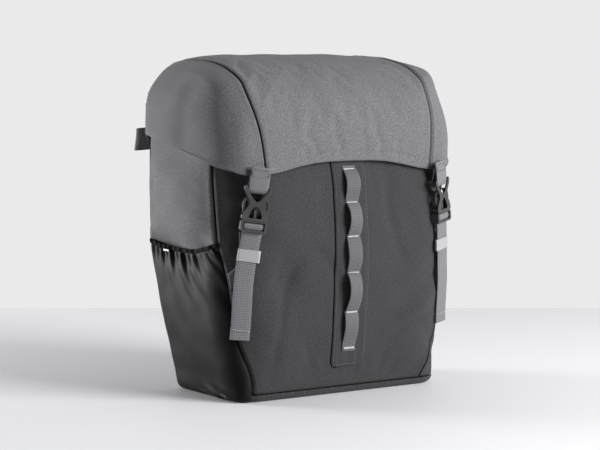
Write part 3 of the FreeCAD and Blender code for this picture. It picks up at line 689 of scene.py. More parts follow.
def body_offset(points, s, z):
    """How far the filled fabric stands out of, or falls into, the plain shape."""
    seam = front_seam(z)
    q = np.abs(s)
    side = np.clip((q - seam) / (back_seam(z) - seam), 0, 1)
    front_part = np.where(q < seam, 1.0, 0.0)
    puff_front = 2.2 * MM * np.sin(PI * ramp(z, 0, 0.30)) * front_part * ramp(seam - q, -2 * MM, 12 * MM)
    puff_side = 6.0 * MM * np.sin(PI * side ** 0.80) * np.sin(PI * ramp(z, 0.0, 0.33)) * (1 - front_part)
    soft = 2.6 * MM * roughness(points, 78 * MM, 3.1) + 1.1 * MM * roughness(points, 34 * MM, 8.2)
    # valleys along the zero lines of a noise, like fabric that has been folded
    fold = -1.6 * MM * np.exp(-(roughness(points * np.array((1, 1, 0.7)), 85 * MM, 5.5) / 0.12) ** 2)
    x = points[..., 0]
    # hollows beside the left strap and low on the right, and the folds that run to the lower right corner
    hollow = -7.4 * MM * bump(x, -94 * MM, 21 * MM) * bump(z, 146 * MM, 30 * MM)
    hollow = hollow - 3.0 * MM * bump(x, 74 * MM, 30 * MM) * bump(z - 0.25 * (x - 74 * MM), 168 * MM, 15 * MM)
    for offset, height in ((0, 2.6), (24 * MM, -2.6), (50 * MM, 2.2)):
        line = (z - 95 * MM - offset) - 0.45 * (x - 95 * MM)
        hollow = hollow + height * MM * bump(line, 0, 8 * MM) * bump(x, 100 * MM, 38 * MM)
    soft = soft + hollow * front_part
    near_seam = np.abs(q - seam + np.where(s > 0, seam_drift(z), 0.0))
    groove = -1.5 * MM * np.exp(-(near_seam / (1.6 * MM)) ** 2) + 0.7 * MM * bump(near_seam, 5 * MM, 2.5 * MM)
    quiet = ramp(z, 0.006, 0.05)
    full = puff_front + puff_side + (soft + fold) * quiet + groove + panel_move(s, z)
    under_lid = ramp(z, 250 * MM, 285 * MM)
    return full * (1 - 0.75 * under_lid) - 1.4 * MM * under_lid


def wall(name, low_s, high_s, z0, z1, material, thickness=2.0 * MM, extra=None, step=STEP, warp=None):
    """A panel of the body between two lines along the outline and two heights.

    Extra gives its own offset at each place, and warp raises each place by a distance.
    """
    rows = max(3, int((z1 - z0) / step) + 1)
    heights = np.linspace(z0, z1, rows)
    wide = float(np.max(np.abs(high_s(heights) - low_s(heights))))
    cols = max(3, int(wide / step) + 1)
    t = np.linspace(0, 1, cols)
    z = np.repeat(heights[:, None], cols, 1)
    s = low_s(heights)[:, None] * (1 - t) + high_s(heights)[:, None] * t
    points, normals = outline(s, z)
    offset = body_offset(points, s, z)
    if extra is not None:
        offset = extra(points, s, z, offset)
    if warp is not None:
        points, normals = outline(s, z + warp(s, z))
    return sheet_mesh(name, points + normals * offset[..., None], np.stack((s, z), -1), material, thickness)


def rest_point(s, z, lift=0.0):
    """Point on the filled fabric's outer face, lifted by a distance, with the outward normal."""
    s, z = np.broadcast_arrays(np.asarray(s, float), np.asarray(z, float))
    points, normals = outline(s, z)
    return points + normals * (body_offset(points, s, z) + lift)[..., None], normals


def rear_rise(s, z):
    """The rim climbs towards the back, so that it stays under the lid's sloping edge."""
    c = spans(z)[2]
    return 17 * MM * ramp(np.abs(s), c - 75 * MM, c) * ramp(z, 240 * MM, BODY_TOP)


def make_body():
    front = wall("front", left_front_seam, front_seam, WRAP, BODY_TOP, DARK_CLOTH)
    finish_piece(front, "bag", "dark_fabric", "front_panel")

    upper = wall("side_right", front_seam, back_seam, POCKET_TOP, BODY_TOP, GREY_CLOTH, warp=rear_rise)
    finish_piece(upper, "bag", "grey_fabric", "side_panel_right")
    lower = wall("side_lower_right", front_seam, back_seam, WRAP, POCKET_TOP, DARK_CLOTH)
    finish_piece(lower, "bag", "dark_fabric", "side_lower_panel_right")

    def dent(points, s, z, offset):
        across = side_across(s, z)
        deep = ramp(across, 0.0, 0.30) * (1 - 0.92 * ramp(across, 0.80, 1.0))
        return offset - POCKET_DENT * deep * (1 - ramp(z, POCKET_TOP - 8 * MM, DENT_END))

    left = wall("side_left", left_back_seam, left_front_seam, WRAP, BODY_TOP, GREY_CLOTH, extra=dent, warp=rear_rise)
    finish_piece(left, "bag", "grey_fabric", "side_panel_left")
    make_back()
    make_bottom()


def make_back():
    """The back is stiff and flat; it rises to the lid's seam."""
    heights = np.append(np.linspace(WRAP, BODY_TOP, 90), np.linspace(BODY_TOP + 3 * MM, BACK_TOP, 14))
    t = np.linspace(-1, 1, 121)
    z = np.repeat(heights[:, None], len(t), 1)
    low = np.minimum(z, BODY_TOP)
    e = spans(low)[4]
    s = e - (e - back_seam(low)) * np.abs(t)[None]
    points, normals = outline(s * np.sign(t + 1e-9)[None], low)
    points[..., 2] = z
    above = ramp(z, BODY_TOP, BODY_TOP + 6 * MM)
    for axis, place in ((0, t[None] * BACK_TOP_HALF), (1, BACK_Y)):
        points[..., axis] = points[..., axis] * (1 - above) + place * above
    ripple = 0.35 * MM * roughness(points, 60 * MM, 2.0)
    points = points + normals * ripple[..., None]
    back = sheet_mesh("back", points, points[..., (0, 2)], DARK_CLOTH, 2.2 * MM, outside=-1)
    finish_piece(back, "bag", "dark_fabric", "back_panel")


def make_bottom():
    """Base panel: flat on the floor, turned up round its edge to the seam 10 mm above it."""
    cols = 260
    t = np.linspace(0, 1, cols, endpoint=False)
    turn = 4.5 * MM
    stations = [(0.0, shrink) for shrink in (0.02, 0.3, 0.6, 0.85, 0.95, 0.98)]
    stations += [(turn * (1 - math.cos(angle)), 1.0) for angle in np.linspace(0, PI / 2, 6)]
    stations += [(7 * MM, 1.0), (8.6 * MM, 1.0), (10.4 * MM, 1.0)]
    points = []
    for z, shrink in stations:
        e = float(spans(np.array(z))[4])
        p, n = outline((t * 2 - 1) * e, np.full(cols, z))
        pull = -turn * (1 - math.sin(min(1, z / turn) * PI / 2))
        rim = 0.9 * MM * bump(z, 7 * MM, 2.0 * MM) - 1.1 * MM * bump(z, 10.4 * MM, 1.2 * MM)
        centre = np.array((0, -10 * MM, z))
        points.append(centre + (p + n * (pull + rim) - centre) * np.array((shrink, shrink, 1)))
    points = np.array(points)
    faces = grid_faces(len(stations), cols, closed=True) + [tuple(range(cols))[::-1]]
    obj = mesh_object("base", points, faces, DARK_CLOTH, points[..., :2])
    finish_piece(thicken(obj, 1.8 * MM), "bag", "dark_fabric", "bottom_panel")


# ------------------------------------------------------------------ pocket

HEM_RISE = ((0, 0.06, 0.21, 0.49, 0.69, 0.83, 0.96, 1.0), (6.5, 5.2, 1.2, -0.6, 0.2, 4.6, 10.0, 12.0))
# each gather: place across the pocket, width and depth in millimetres, how far down it reaches
GATHERS = ((0.05, 2.6, 1.0, 0.040), (0.12, 2.2, 0.9, 0.070), (0.18, 2.6, 1.3, 0.110), (0.25, 2.4, 1.1, 0.060),
           (0.31, 3.0, 1.7, 0.150), (0.39, 2.6, 1.1, 0.080), (0.46, 2.8, 1.7, 0.170), (0.55, 2.6, 1.0, 0.070),
           (0.63, 3.2, 1.5, 0.120), (0.72, 2.6, 0.9, 0.050), (0.80, 2.4, 0.8, 0.060), (0.90, 2.6, 1.1, 0.080))


def hem_line(s):
    """How far the hem rises above the pocket's top height: it sags between its ends."""
    t = np.clip(side_across(s, POCKET_TOP + 0 * s), 0, 1)
    return curve_through(t, *HEM_RISE) * MM - 0.3 * MM * np.sin(s / (6.3 * MM) + 1.3 * np.sin(s / (21 * MM)))


def pucker(s):
    """The fine, uneven ripples that the elastic thread makes."""
    return np.sin(s / (1.55 * MM) + np.sin(s / (9 * MM)))


def gathers(s, z):
    """Folds that the elastic hem draws into the stretch fabric; they fan out and fade downwards."""
    down = np.maximum(POCKET_TOP - z, 0)
    z_top = POCKET_TOP + 0 * s
    rear, seam = left_back_seam(z_top), left_front_seam(z_top)
    run = s - down * (0.10 + 0.75 * side_across(s, z_top))
    wave = np.zeros_like(run + down)
    for place, width, depth, reach in GATHERS:
        at = rear + (seam - rear) * place
        spread = width * MM * (1 + down / (26 * MM))
        fold = bump(run, at, spread) - 0.55 * bump(run, at + 1.7 * spread, spread)
        wave += depth * fold * np.exp(-(down / (1.25 * reach)) ** 1.5)
    return wave * (0.32 + 0.68 * ramp(down, 0, 13 * MM)) + 0.08 * pucker(run) * np.exp(-(down / 0.016) ** 1.4)


def pocket_offset(points, s, z, _offset=0.0):
    """How far the pocket stands out of the plain shape, whatever the side behind it does."""
    across = side_across(s, z)
    still = np.clip(np.minimum(across, 1 - across) / 0.05, 0, 1)
    slack = 2.4 * MM * np.sin(PI * across) * ramp(z, WRAP, 0.10) * (1 - ramp(z, POCKET_TOP - 45 * MM, POCKET_TOP))
    pull = -2.6 * MM * np.sin(PI * across) * ramp(z, POCKET_TOP - 30 * MM, POCKET_TOP)
    soft = 1.1 * MM * roughness(points, 55 * MM, 12.0) + 0.6 * MM * roughness(points, 24 * MM, 2.7)
    groove = -1.6 * MM * bump(s, left_front_seam(z), 2.0 * MM)
    tuck = 4.2 * MM * (1 - np.sin(np.clip(z / (6 * MM), 0, 1) * PI / 2))
    foot = 1.2 * MM * (1 - ramp(z, 8 * MM, 30 * MM))
    corner = 2.4 * MM * bump(across, 0.93, 0.06) * (1 - ramp(z, 4 * MM, 30 * MM))
    wrinkle = 1.5 * MM * np.sin((s * 0.8 + z * 1.6) / (6 * MM)) * (1 - ramp(z, 4 * MM, 22 * MM))
    folds = wrinkle * bump(across, 0.7, 0.25) + 2.3 * MM * gathers(s, z) * still
    return slack + pull + soft + groove + foot + corner - tuck + folds


def make_pocket():
    top = POCKET_TOP - 3 * MM
    pocket = wall("pocket", left_back_seam, left_front_seam, 1.6 * MM, top, SATIN, 0.9 * MM, pocket_offset,
                  step=1.5 * MM, warp=lambda s, z: hem_line(s) * ramp(z, 60 * MM, POCKET_TOP))
    finish_piece(pocket, "bag", "stretch_fabric", "side_pocket")

    cols, sides = 260, 13
    s = np.linspace(float(left_back_seam(POCKET_TOP)), float(left_front_seam(POCKET_TOP)), cols)
    z_mid = top + hem_line(s)
    verts, uvs = [], []
    for a in np.linspace(0, 2 * PI, sides, endpoint=False):
        p, n = outline(s, z_mid + 2.7 * MM * np.sin(a))
        base = pocket_offset(p, s, np.full(cols, top))
        thick = (1.3 + 0.10 * pucker(s)) * MM * np.cos(a)
        verts.append(p + n * (base + 0.4 * MM + thick)[:, None])
        uvs.append(pair(a * 2 * MM, s))
    verts, uvs = [np.array(v).transpose(1, 0, 2) for v in (verts, uvs)]
    hem = mesh_object("pocket_hem", verts, tube_faces(cols, sides), ELASTIC, uvs)
    finish_piece(hem, "bag", "elastic_trim", "pocket_elastic_hem")

    lo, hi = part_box("pocket_reflective_tab")
    y = np.linspace(hi.y, lo.y, 12)
    z = np.full(12, POCKET_TOP - 6.4 * MM)
    _, front, _, rf = level(z)
    s = -(spans(z)[1] + (y - (front + rf)))
    p, n = outline(s, z)
    base = pocket_offset(p, s, z)
    path = p + n * (0.3 * base + 0.7 * base.max() + 0.9 * MM)[:, None]
    path[:, 2] += hem_line(s)
    tab = ribbon("pocket_tab", path, (0, 0, 1), 2.6 * MM, 0.6 * MM, REFLECTIVE)
    finish_piece(tab, "bag", "reflective_tape", "pocket_reflective_tab")


# ------------------------------------------------------------------ lid

LID_HALF = 174.5 * MM
LID_FRONT = -97 * MM
LID_BACK = 100 * MM
LID_CENTRE = np.array((0, 0, 293)) * MM
OUTLINE_Z = 288               # the outlines below are measured above this height
HINGE_Z = 348 * MM


def radial(points):
    """(angle, distance) of outline points round the lid's centre, densely and smoothly sampled."""
    rise = OUTLINE_Z - LID_CENTRE[2] / MM
    path = smooth_path([(p[0] * MM, (p[1] + rise) * MM, 0) for p in points], 400)[:, :2]
    angle = np.unwrap(np.arctan2(path[:, 1], path[:, 0]))
    order = np.argsort(angle)
    return angle[order], np.hypot(path[:, 0], path[:, 1])[order]


# side outline (Y, Z above the centre), front outline (X, Z above the centre); the front one stands
# higher in its middle, where the side outline alone shapes the top
SIDE_LINE = radial((
    (120, -60), (112, -30), (103, 10), (100, 60), (99.5, 86), (95, 101), (85, 109.5), (62, 113.8), (40, 113.5),
    (14, 111), (-12, 105.5), (-38, 97.5), (-62, 83.5), (-79, 66), (-89, 44), (-94, 20), (-96.5, -6), (-97.5, -30),
    (-98, -60),
))
FRONT_LINE = radial((
    (178, -60), (175.5, -25), (175, 10), (174.5, 42), (171.5, 69), (164.5, 92), (151, 114), (129, 131),
    (96, 143), (50, 149), (0, 151), (-50, 148), (-94, 139), (-122, 125), (-143, 106), (-157.5, 86),
    (-168, 67), (-173.5, 42), (-175, 10), (-175.5, -25), (-178, -60),
))
# plan outline: it only cuts the corners, so its flats stand outside the others
PLAN_GROW = 5 * MM
PLAN_FRONT_CORNER = 75 * MM
PLAN_REAR_CORNER = 29 * MM


def soft_min(a, b, width):
    h = np.maximum(width - np.abs(a - b), 0) / width
    return np.minimum(a, b) - h * h * width / 4


def across_line(line, along, up):
    """Distance to one of the lid's outlines, for directions whose parts in its plane are along and up."""
    angle = np.arctan2(up, along)
    angle = np.where(angle < -PI / 2, angle + 2 * PI, angle)
    return np.interp(angle, *line) / np.maximum(np.hypot(along, up), 1e-3)


def lid_radius(d):
    """Distance from the centre to the lid's outer face along unit directions d."""
    dx, dy, dz = d[..., 0], d[..., 1], d[..., 2]
    r_side = across_line(SIDE_LINE, dy, dz)
    r_front = across_line(FRONT_LINE, dx, dz)
    level_part = np.maximum(np.hypot(dx, dy), 1e-3)
    way = np.arctan2(dy, np.abs(dx))
    flat = plan_radius(np.arctan2(dy, dx))
    # the front corners lean in towards the top
    lean = 0.145 + 0.025 * np.tanh(dx / 0.2)
    flat = flat * (1 - lean * bump(way, -0.62, 0.42) * ramp(flat * dz / level_part, 0, 100 * MM))
    shoulder = (26 - 8 * np.tanh(dx / 0.25)) * MM
    return soft_min(soft_min(r_side, r_front, shoulder), flat / level_part, 14 * MM)


def make_plan():
    angles = np.linspace(-PI, PI, 721)
    result = []
    for a in angles:
        c, s = math.cos(a), math.sin(a)
        lo, hi = 0.02, 0.40
        for _ in range(40):
            mid = (lo + hi) / 2
            x, y = abs(c * mid), s * mid
            r = PLAN_FRONT_CORNER if y < 0 else PLAN_REAR_CORNER
            edge_y = (-LID_FRONT if y < 0 else LID_BACK) + PLAN_GROW - r
            ox, oy = max(0, x - (LID_HALF + PLAN_GROW - r)), max(0, abs(y) - edge_y)
            inside = math.hypot(ox, oy) < r
            lo, hi = (mid, hi) if inside else (lo, mid)
        result.append(lo)
    return angles, np.array(result)


PLAN_LINE = make_plan()


def plan_radius(angle):
    return np.interp(angle, *PLAN_LINE)


HEM_SIDE = np.array(((-91, 265.3), (-80, 270.4), (-60, 276.9), (-47, 281.6), (-8, 290.8), (37, 299.6), (83, 307),
                     (101, 310))) * MM
HEM_FRONT = np.array(((0, 278.6), (31, 278.2), (53, 276.6), (76, 272.8), (100, 267.6), (118, 265.3))) * MM


def lid_hem(x, y):
    """Height of the lid's lower edge above the floor: sloped at the sides, arched at the front."""
    side = np.interp(y, *HEM_SIDE.T)
    front = np.interp(np.abs(x), *HEM_FRONT.T)
    return np.where(y < -0.091, front, side)


TOP_REACH = 105 * MM
SEAM_LOW, SEAM_HIGH = 118 * MM, 134 * MM


def lid_point(run, alpha, sign=1.0):
    """Point on the lid's outer face; run is a distance out along the top and down the side, alpha goes round."""
    inner = np.arctan2(run, TOP_REACH)
    outer = np.arctan2(LID_HALF, np.maximum(TOP_REACH + LID_HALF - run, 1e-4))
    beta = np.where(np.abs(run) < LID_HALF, inner, outer)
    d = np.stack((sign * np.sin(beta), np.cos(beta) * np.cos(alpha), np.cos(beta) * np.sin(alpha)), -1)
    return LID_CENTRE + d * lid_radius(d)[..., None]


def lid_normal(run, alpha, sign):
    """Outward normal, from the right half's shape, turned over to the other side where the sign is -1."""
    e = 1e-4
    a = lid_point(run + e, alpha) - lid_point(run - e, alpha)
    b = lid_point(run, alpha + e) - lid_point(run, alpha - e)
    n = np.cross(a, b)
    n = n / np.maximum(np.linalg.norm(n, axis=-1, keepdims=True), 1e-12)
    outwards = (n * (lid_point(run, alpha) - LID_CENTRE)).sum(-1, keepdims=True)
    mirror = np.stack(np.broadcast_arrays(sign, np.ones_like(alpha), np.ones_like(alpha)), -1)
    return np.where(outwards < 0, -n, n) * mirror


def seam_run(alpha):
    """Where the seam between top panel and gusset lies, for each angle round the lid."""
    run = np.full_like(alpha, SEAM_LOW)
    for _ in range(12):
        p = lid_point(run, alpha)
        wanted = SEAM_LOW + (SEAM_HIGH - SEAM_LOW) * (p[..., 2] - 0.27) / 0.13
        run = run + (wanted - p[..., 0]) * 0.8
    return run


def alpha_limits(run, sign):
    """Angles of the lid's front edge and rear edge."""
    low = np.full_like(run, PI * 1.06)
    for _ in range(14):
        p = lid_point(run, low, sign)
        low = low + (p[..., 2] - lid_hem(p[..., 0], p[..., 1])) / 0.11
    high = np.full_like(run, 0.55)
    for _ in range(14):
        p = lid_point(run, high, sign)
        edge = lid_hem(p[..., 0], p[..., 1])
        at_side = ramp(run, LID_HALF - 12 * MM, LID_HALF + 2 * MM)
        target = (HINGE_Z + 3 * MM) * (1 - at_side) + edge * at_side
        high = high - (p[..., 2] - target) / 0.13
    return low, high


def lid_soft(points, alpha, run, seam, low, high):
    """Puffing between the seams, soft dents, and the flat sewn edge."""
    inside = np.where(run < seam, 1 - (run / seam) ** 2, 0.6 * np.sin(PI * np.clip((run - seam) / 0.14, 0, 1)))
    around = np.sin(PI * np.clip((low - alpha) / (low - high), 0, 1)) ** 0.6
    puff = 2.0 * MM * inside * around
    soft = 1.4 * MM * roughness(points, 70 * MM, 21.0) + 0.7 * MM * roughness(points, 30 * MM, 4.4)
    x, y, z = points[..., 0], points[..., 1], points[..., 2]
    flank = ramp(np.abs(x), 140 * MM, 168 * MM) * bump(z, 325 * MM, 48 * MM)
    fold = flank * MM * (5.0 * bump(y, 16 * MM, 60 * MM) + 0.9 * bump(y, 18 * MM, 13 * MM)
                         - 0.9 * bump(y, -8 * MM, 12 * MM))
    near = np.abs(run - seam)
    groove = -1.3 * MM * np.exp(-(near / (2.0 * MM)) ** 2) + 0.8 * MM * bump(near, 6 * MM, 3 * MM)
    edge = (low - alpha) * 0.11
    hem = -0.9 * MM * bump(edge, 12 * MM, 1.4 * MM) * (run < LID_HALF)
    flare = 1.5 * MM * (1 - ramp(edge, 0, 9 * MM)) * ramp(run, LID_HALF - 30 * MM, LID_HALF)
    calm = ramp(edge, 0, 25 * MM) * 0.8 + 0.2
    return puff + (soft + fold) * calm + groove + hem + flare


def lid_panel(name, t_run, sign, material, part):
    """A panel of the lid on a grid of (angle round the lid, distance across it)."""
    rows = 130
    v = np.linspace(0, 1, rows)
    cols = len(t_run)
    grid_alpha = np.zeros((rows, cols))
    grid_run = np.zeros((rows, cols))
    lows, highs = np.zeros(cols), np.zeros(cols)
    total = LID_HALF + TOP_REACH - 0.5 * MM

    def run_at(alpha, t):
        seam = seam_run(alpha)
        return seam * t if part == "top" else seam + (total - seam) * t

    # the seam's run depends on the angle, so the limits are found along each column's own line
    for c, t in enumerate(t_run):
        low, high = np.array([PI * 1.06]), np.array([0.6])
        for _ in range(6):
            low, high = [alpha_limits(np.abs(run_at(end, t)), sign)[k] for k, end in enumerate((low, high))]
        lows[c], highs[c] = low[0], high[0]
        grid_alpha[:, c] = low[0] + (high[0] - low[0]) * v
        grid_run[:, c] = run_at(grid_alpha[:, c], t)
    signs = np.where(grid_run < 0, -1.0, 1.0) * sign
    run = np.abs(grid_run)
    base = lid_point(run, grid_alpha, signs)
    normal = lid_normal(run, grid_alpha, signs)
    lift = lid_soft(base, grid_alpha, run, seam_run(grid_alpha), lows[None, :], highs[None, :])
    if part == "top":
        coarse = simulated(base[::2, ::2], normal[::2, ::2], 0.010, 1.0 * MM, 51.0, fullness=0.06)
        u, w = np.linspace(0, (rows - 1) / (rows - 2), rows), np.linspace(0, 1, cols)
        lift = lift + sample(coarse, u[:, None] + 0 * w, w[None] + 0 * u[:, None])
    points = base + normal * lift[..., None]
    arc = np.concatenate((np.zeros((1, cols)), np.cumsum(np.linalg.norm(np.diff(points, axis=0), axis=2), 0)))
    across = np.concatenate((np.zeros((rows, 1)), np.cumsum(np.linalg.norm(np.diff(points, axis=1), axis=2), 1)), 1)
    uv = np.stack((across, arc[:, cols // 2][:, None] + 0 * across), -1)
    return sheet_mesh(name, points, uv, material, 2.2 * MM, outside=1 if part == "top" else sign)


def seam_line(sign, lift, first, last, beside=0.0, count=150):
    """Points and normals along a part of the lid's seam, shifted sideways by a distance."""
    low = alpha_limits(seam_run(np.array([PI])), sign)[0]
    high = alpha_limits(seam_run(np.array([0.6])), sign)[1]
    t = np.linspace(first, last, count)
    alpha = low[0] + (high[0] - low[0]) * t
    run = seam_run(alpha) + beside
    base = lid_point(run, alpha, sign)
    normal = lid_normal(run, alpha, float(sign))
    soft = lid_soft(base, alpha, run, seam_run(alpha), low, high)
    return base + normal * (soft + lift)[:, None], normal


def make_lid():
    top = lid_panel("lid_top", np.linspace(-1, 1, 95), 1, GREY_CLOTH, "top")
    finish_piece(top, "lid", "grey_fabric", "lid_top_panel")
    for name, sign in SIDES:
        columns = np.unique(np.concatenate((np.linspace(0, 1, 62) ** 0.92, np.linspace(0.20, 0.42, 60))))
        gusset = lid_panel("lid_side_" + name, columns, sign, GREY_CLOTH, "gusset")
        finish_piece(gusset, "lid", "grey_fabric", "lid_gusset_" + name)
        path, _ = seam_line(sign, 0.35 * MM, 0.02, 0.99)
        # the left piping's near-black cloth, against the right one's paler lining cloth, paints shade in the left
        # seam's groove
        piping = tube("lid_seam_piping_" + name, path, (1.25 if sign < 0 else 0.55) * MM, PIPING_AND_SHADE_CORD if sign < 0 else LINING)
        finish_piece(piping, "lid", "piping", "lid_piping_" + name)


# ------------------------------------------------------------------ straps and buckles

STRAP_X = 130 * MM
STRAP_Y = -98.5 * MM
STRAP_TURN = math.radians(22)
STRAP_LEAN = math.radians(8)
STRAP_TOP = 255 * MM
WEB_WIDTH = 23 * MM
WEB_THICK = 1.6 * MM
KEEPER = (164 * MM, 181 * MM)


def strap_point(side, points):
    """From a strap's own frame (across, behind, height) to the bag's frame; also for directions with turn()."""
    p = np.asarray(points, float)
    up = p[..., 2] - STRAP_TOP
    x = p[..., 0] * math.cos(STRAP_LEAN) - up * math.sin(STRAP_LEAN)
    z = STRAP_TOP + p[..., 0] * math.sin(STRAP_LEAN) + up * math.cos(STRAP_LEAN)
    y = p[..., 1]
    c, s = math.cos(STRAP_TURN), math.sin(STRAP_TURN)
    return np.stack((side * (STRAP_X + x * c - y * s), STRAP_Y + x * s + y * c, z), -1)


def strap_way(side, direction):
    return strap_point(side, np.asarray(direction, float)) - strap_point(side, np.zeros(3))


def strap_ribbon(name, side, path, count):
    """Webbing along (across, behind, height) points of a strap's own frame, in millimetres."""
    world = strap_point(side, smooth_path(np.array(path, float) * MM, count))
    return ribbon(name, world, strap_way(side, (1, 0, 0)), WEB_WIDTH, WEB_THICK, GREY_WEB)


def strap_line(side, *points):
    """Line for stitches through points of a strap's own frame, in millimetres."""
    return strap_point(side, np.array(points) * MM), [strap_way(side, (0, -1, 0))] * len(points)


def make_straps():
    for name, side in SIDES:
        # the lid's webbing: from under the stitching on the hem, round the socket's bar and up again behind
        loop = [(0, -3.2, 275), (0, -3.6, 268), (0, -4.0, 260), (0, -3.7, 252), (0, -2.9, 247.4), (0, -0.6, 245.0),
                (0, 2.0, 246.2), (0, 3.3, 249.5), (0, 2.4, 255), (0, 0.2, 262), (0, -1.2, 268)]
        web = strap_ribbon("lid_web_" + name, side, loop, 70)
        finish_piece(web, "lid", "grey_webbing", "lid_webbing_" + name)
        rows = [strap_line(side, *[(x, -4.9, z) for x in (-9.6, 0, 9.6)]) for z in (263.5, 271.5)]
        rows += [strap_line(side, *[(x, -4.9, z) for z in (263.5, 267.5, 271.5)]) for x in (-9.6, 9.6)]
        box = stitches("lid_web_stitches_" + name, rows, DARK_THREAD, 1.7, 2.1, 0.26)
        finish_piece(box, "lid", "grey_webbing")

        # wrap over the plug's middle bar, then the hanging tail with its folded, stitched end
        wrap = [(0, 3.0, 190), (0, 2.6, 200), (0, 2.4, 207), (0, 0.8, 210.2), (0, -2.2, 210.0), (0, -3.4, 207),
                (0, -2.6, 203.6), (0, -0.6, 201.4), (0, 0.2, 198.5)]
        tail = wrap + [(0.4, 0.4, 192), (1.0, 1.6, 181), (1.6, 2.4, 168), (1.6, 3.8, 150), (0.6, 4.4, 130),
                       (-1.2, 5.8, 110), (-3.0, 7.6, 90), (-4.0, 8.4, 74)]
        tail = strap_ribbon("tail_" + name, side, tail, 150)
        finish_piece(tail, "bag", "grey_webbing", "strap_tail_" + name)
        fold = [(-4.0, 10.0, 74.3), (-3.6, 9.6, 80), (-3.3, 9.1, 87.5)]
        fold = strap_ribbon("tail_hem_" + name, side, fold, 14)
        finish_piece(fold, "bag", "grey_webbing")
        line = strap_line(side, *[(x, 5.9, 85.6) for x in (-14.2, -3.2, 7.8)])
        hem = stitches("tail_stitches_" + name, [line], PALE_THREAD, 1.8, 2.6, 0.3)
        finish_piece(hem, "bag", "reflective_tape")

        make_anchor(name, side)
        make_keeper(name, side)


def make_anchor(name, side):
    """Webbing sewn into the side seam, which bends up behind the tail to the plug."""
    rows, cols = 46, 12
    t = np.linspace(0, 1, rows)[:, None]
    w = np.linspace(-0.5, 0.5, cols)[None]
    z_low = 143 * MM + w * 18 * MM
    s_low = front_seam(z_low) - 6.0 * MM
    z_high = 201 * MM
    half, _, _, rf = [float(v) for v in level(np.array(z_high))]
    s_high = half - rf + rf * math.asin((136.5 * MM - (half - rf)) / rf) + w * WEB_WIDTH
    a, b, c, d = (1 - t) ** 3, 3 * t * (1 - t) ** 2, 3 * t * t * (1 - t), t ** 3
    s = a * s_low + b * (s_low - 14 * MM) + c * s_high + d * s_high
    z = a * z_low + b * (z_low + 8 * MM) + c * (z_high - 24 * MM - w * 10 * MM) + d * z_high
    edge = np.abs(w) * 2
    points, _ = rest_point(side * s, z, (2.0 - 0.5 * edge ** 6) * MM)
    # the anchor's webbing is the darker copy of the grey webbing: painted shade behind the tail
    obj = sheet_mesh("anchor_" + name, points, pair(w * WEB_WIDTH, t * 66 * MM), GREY_WEB_PAINTED_SHADE, 1.3 * MM, outside=side)
    finish_piece(obj, "bag", "grey_webbing", "strap_anchor_" + name)


def make_keeper(name, side):
    """Reflective elastic ring round the tail, with fine ribs across it."""
    low, high = KEEPER[0] + 1.4 * MM, KEEPER[1] - 1.6 * MM
    rows, cols = 30, 64
    z = np.linspace(low, high, rows)
    angle = np.linspace(0, 2 * PI, cols, endpoint=False)
    half, deep = 13.3 * MM, 1.95 * MM
    c, s = np.cos(angle), np.sin(angle)
    x = half * np.sign(c) * np.abs(c) ** 0.16
    y = deep * np.sign(s) * np.abs(s) ** 0.5
    rib = 0.13 * MM * np.sin(2 * PI * (z - low) / (1.7 * MM))
    middle = 0.2 * MM + 8.0 * MM * (206 * MM - z) / (132 * MM)
    rib, middle, z = rib[:, None], middle[:, None], z[:, None]
    world = strap_point(side, np.stack(np.broadcast_arrays(x * (1 + rib / half), middle + y + rib * s, z), -1))
    faces = grid_faces(rows, cols, closed=True)
    obj = mesh_object("keeper_ring_" + name, world, faces, REFLECTIVE, pair(angle[None] * half, z))
    finish_piece(thicken(obj, 0.9 * MM, -side), "keeper_" + name, "reflective_tape", "strap_keeper_" + name)


# ------------------------------------------------------------------ centre patch and daisy chain

DAISY_TACKS = np.array((268.5, 229.5, 189.5, 146.5, 99.5, 56.0)) * MM
DAISY_STAND = 9.5 * MM
DAISY_WIDTH = 19 * MM
PATCH_HALF = 23.5 * MM
PATCH_LOW, PATCH_HIGH = 33 * MM, 284 * MM
PATCH_SEAM = 3.4 * MM
# each loop of webbing: place of its crest from the upper tack, height, fullness of its lower half, sideways slip
DAISY_LOOPS = ((0.45, 6.6, 0.85, 0.5), (0.42, 7.2, 1.3, 1.5), (0.44, 6.2, 1.0, -0.4), (0.36, 6.8, 1.4, 1.2),
               (0.42, 3.8, 0.7, -0.8))


def make_patch():
    z = np.linspace(PATCH_LOW, PATCH_HIGH, 150)[:, None]
    corner = 8 * MM
    below = np.clip(PATCH_LOW + corner - z, 0, corner)
    x = np.linspace(-1, 1, 40)[None] * (PATCH_HALF - corner + np.sqrt(corner ** 2 - below ** 2))
    edge = np.minimum(PATCH_HALF - np.abs(x), z - PATCH_LOW)
    lift = 1.5 * MM * ramp(edge, -0.5 * MM, 2.5 * MM) - 0.55 * MM * bump(edge, PATCH_SEAM, 1.0 * MM)
    patch = sheet_mesh("patch", rest_point(x, z, lift)[0], pair(x, z), DARK_CLOTH, 1.2 * MM)
    finish_piece(patch, "bag", "dark_fabric", "centre_patch")
    height = np.linspace(PATCH_LOW + 7 * MM, PATCH_HIGH - 12 * MM, 90)
    lines = [rest_point(sign * (PATCH_HALF - PATCH_SEAM), height, 1.15 * MM) for _, sign in SIDES]
    across = np.linspace(-(PATCH_HALF - 7 * MM), PATCH_HALF - 7 * MM, 20)
    lines.append(rest_point(across, PATCH_LOW + PATCH_SEAM, 1.15 * MM))
    seam = stitches("patch_stitches", lines, GREY_THREAD, 2.4, 3.1, 0.24)
    finish_piece(seam, "bag", "dark_fabric")


FORWARD = ((0, -1, 0), (0, -1, 0))


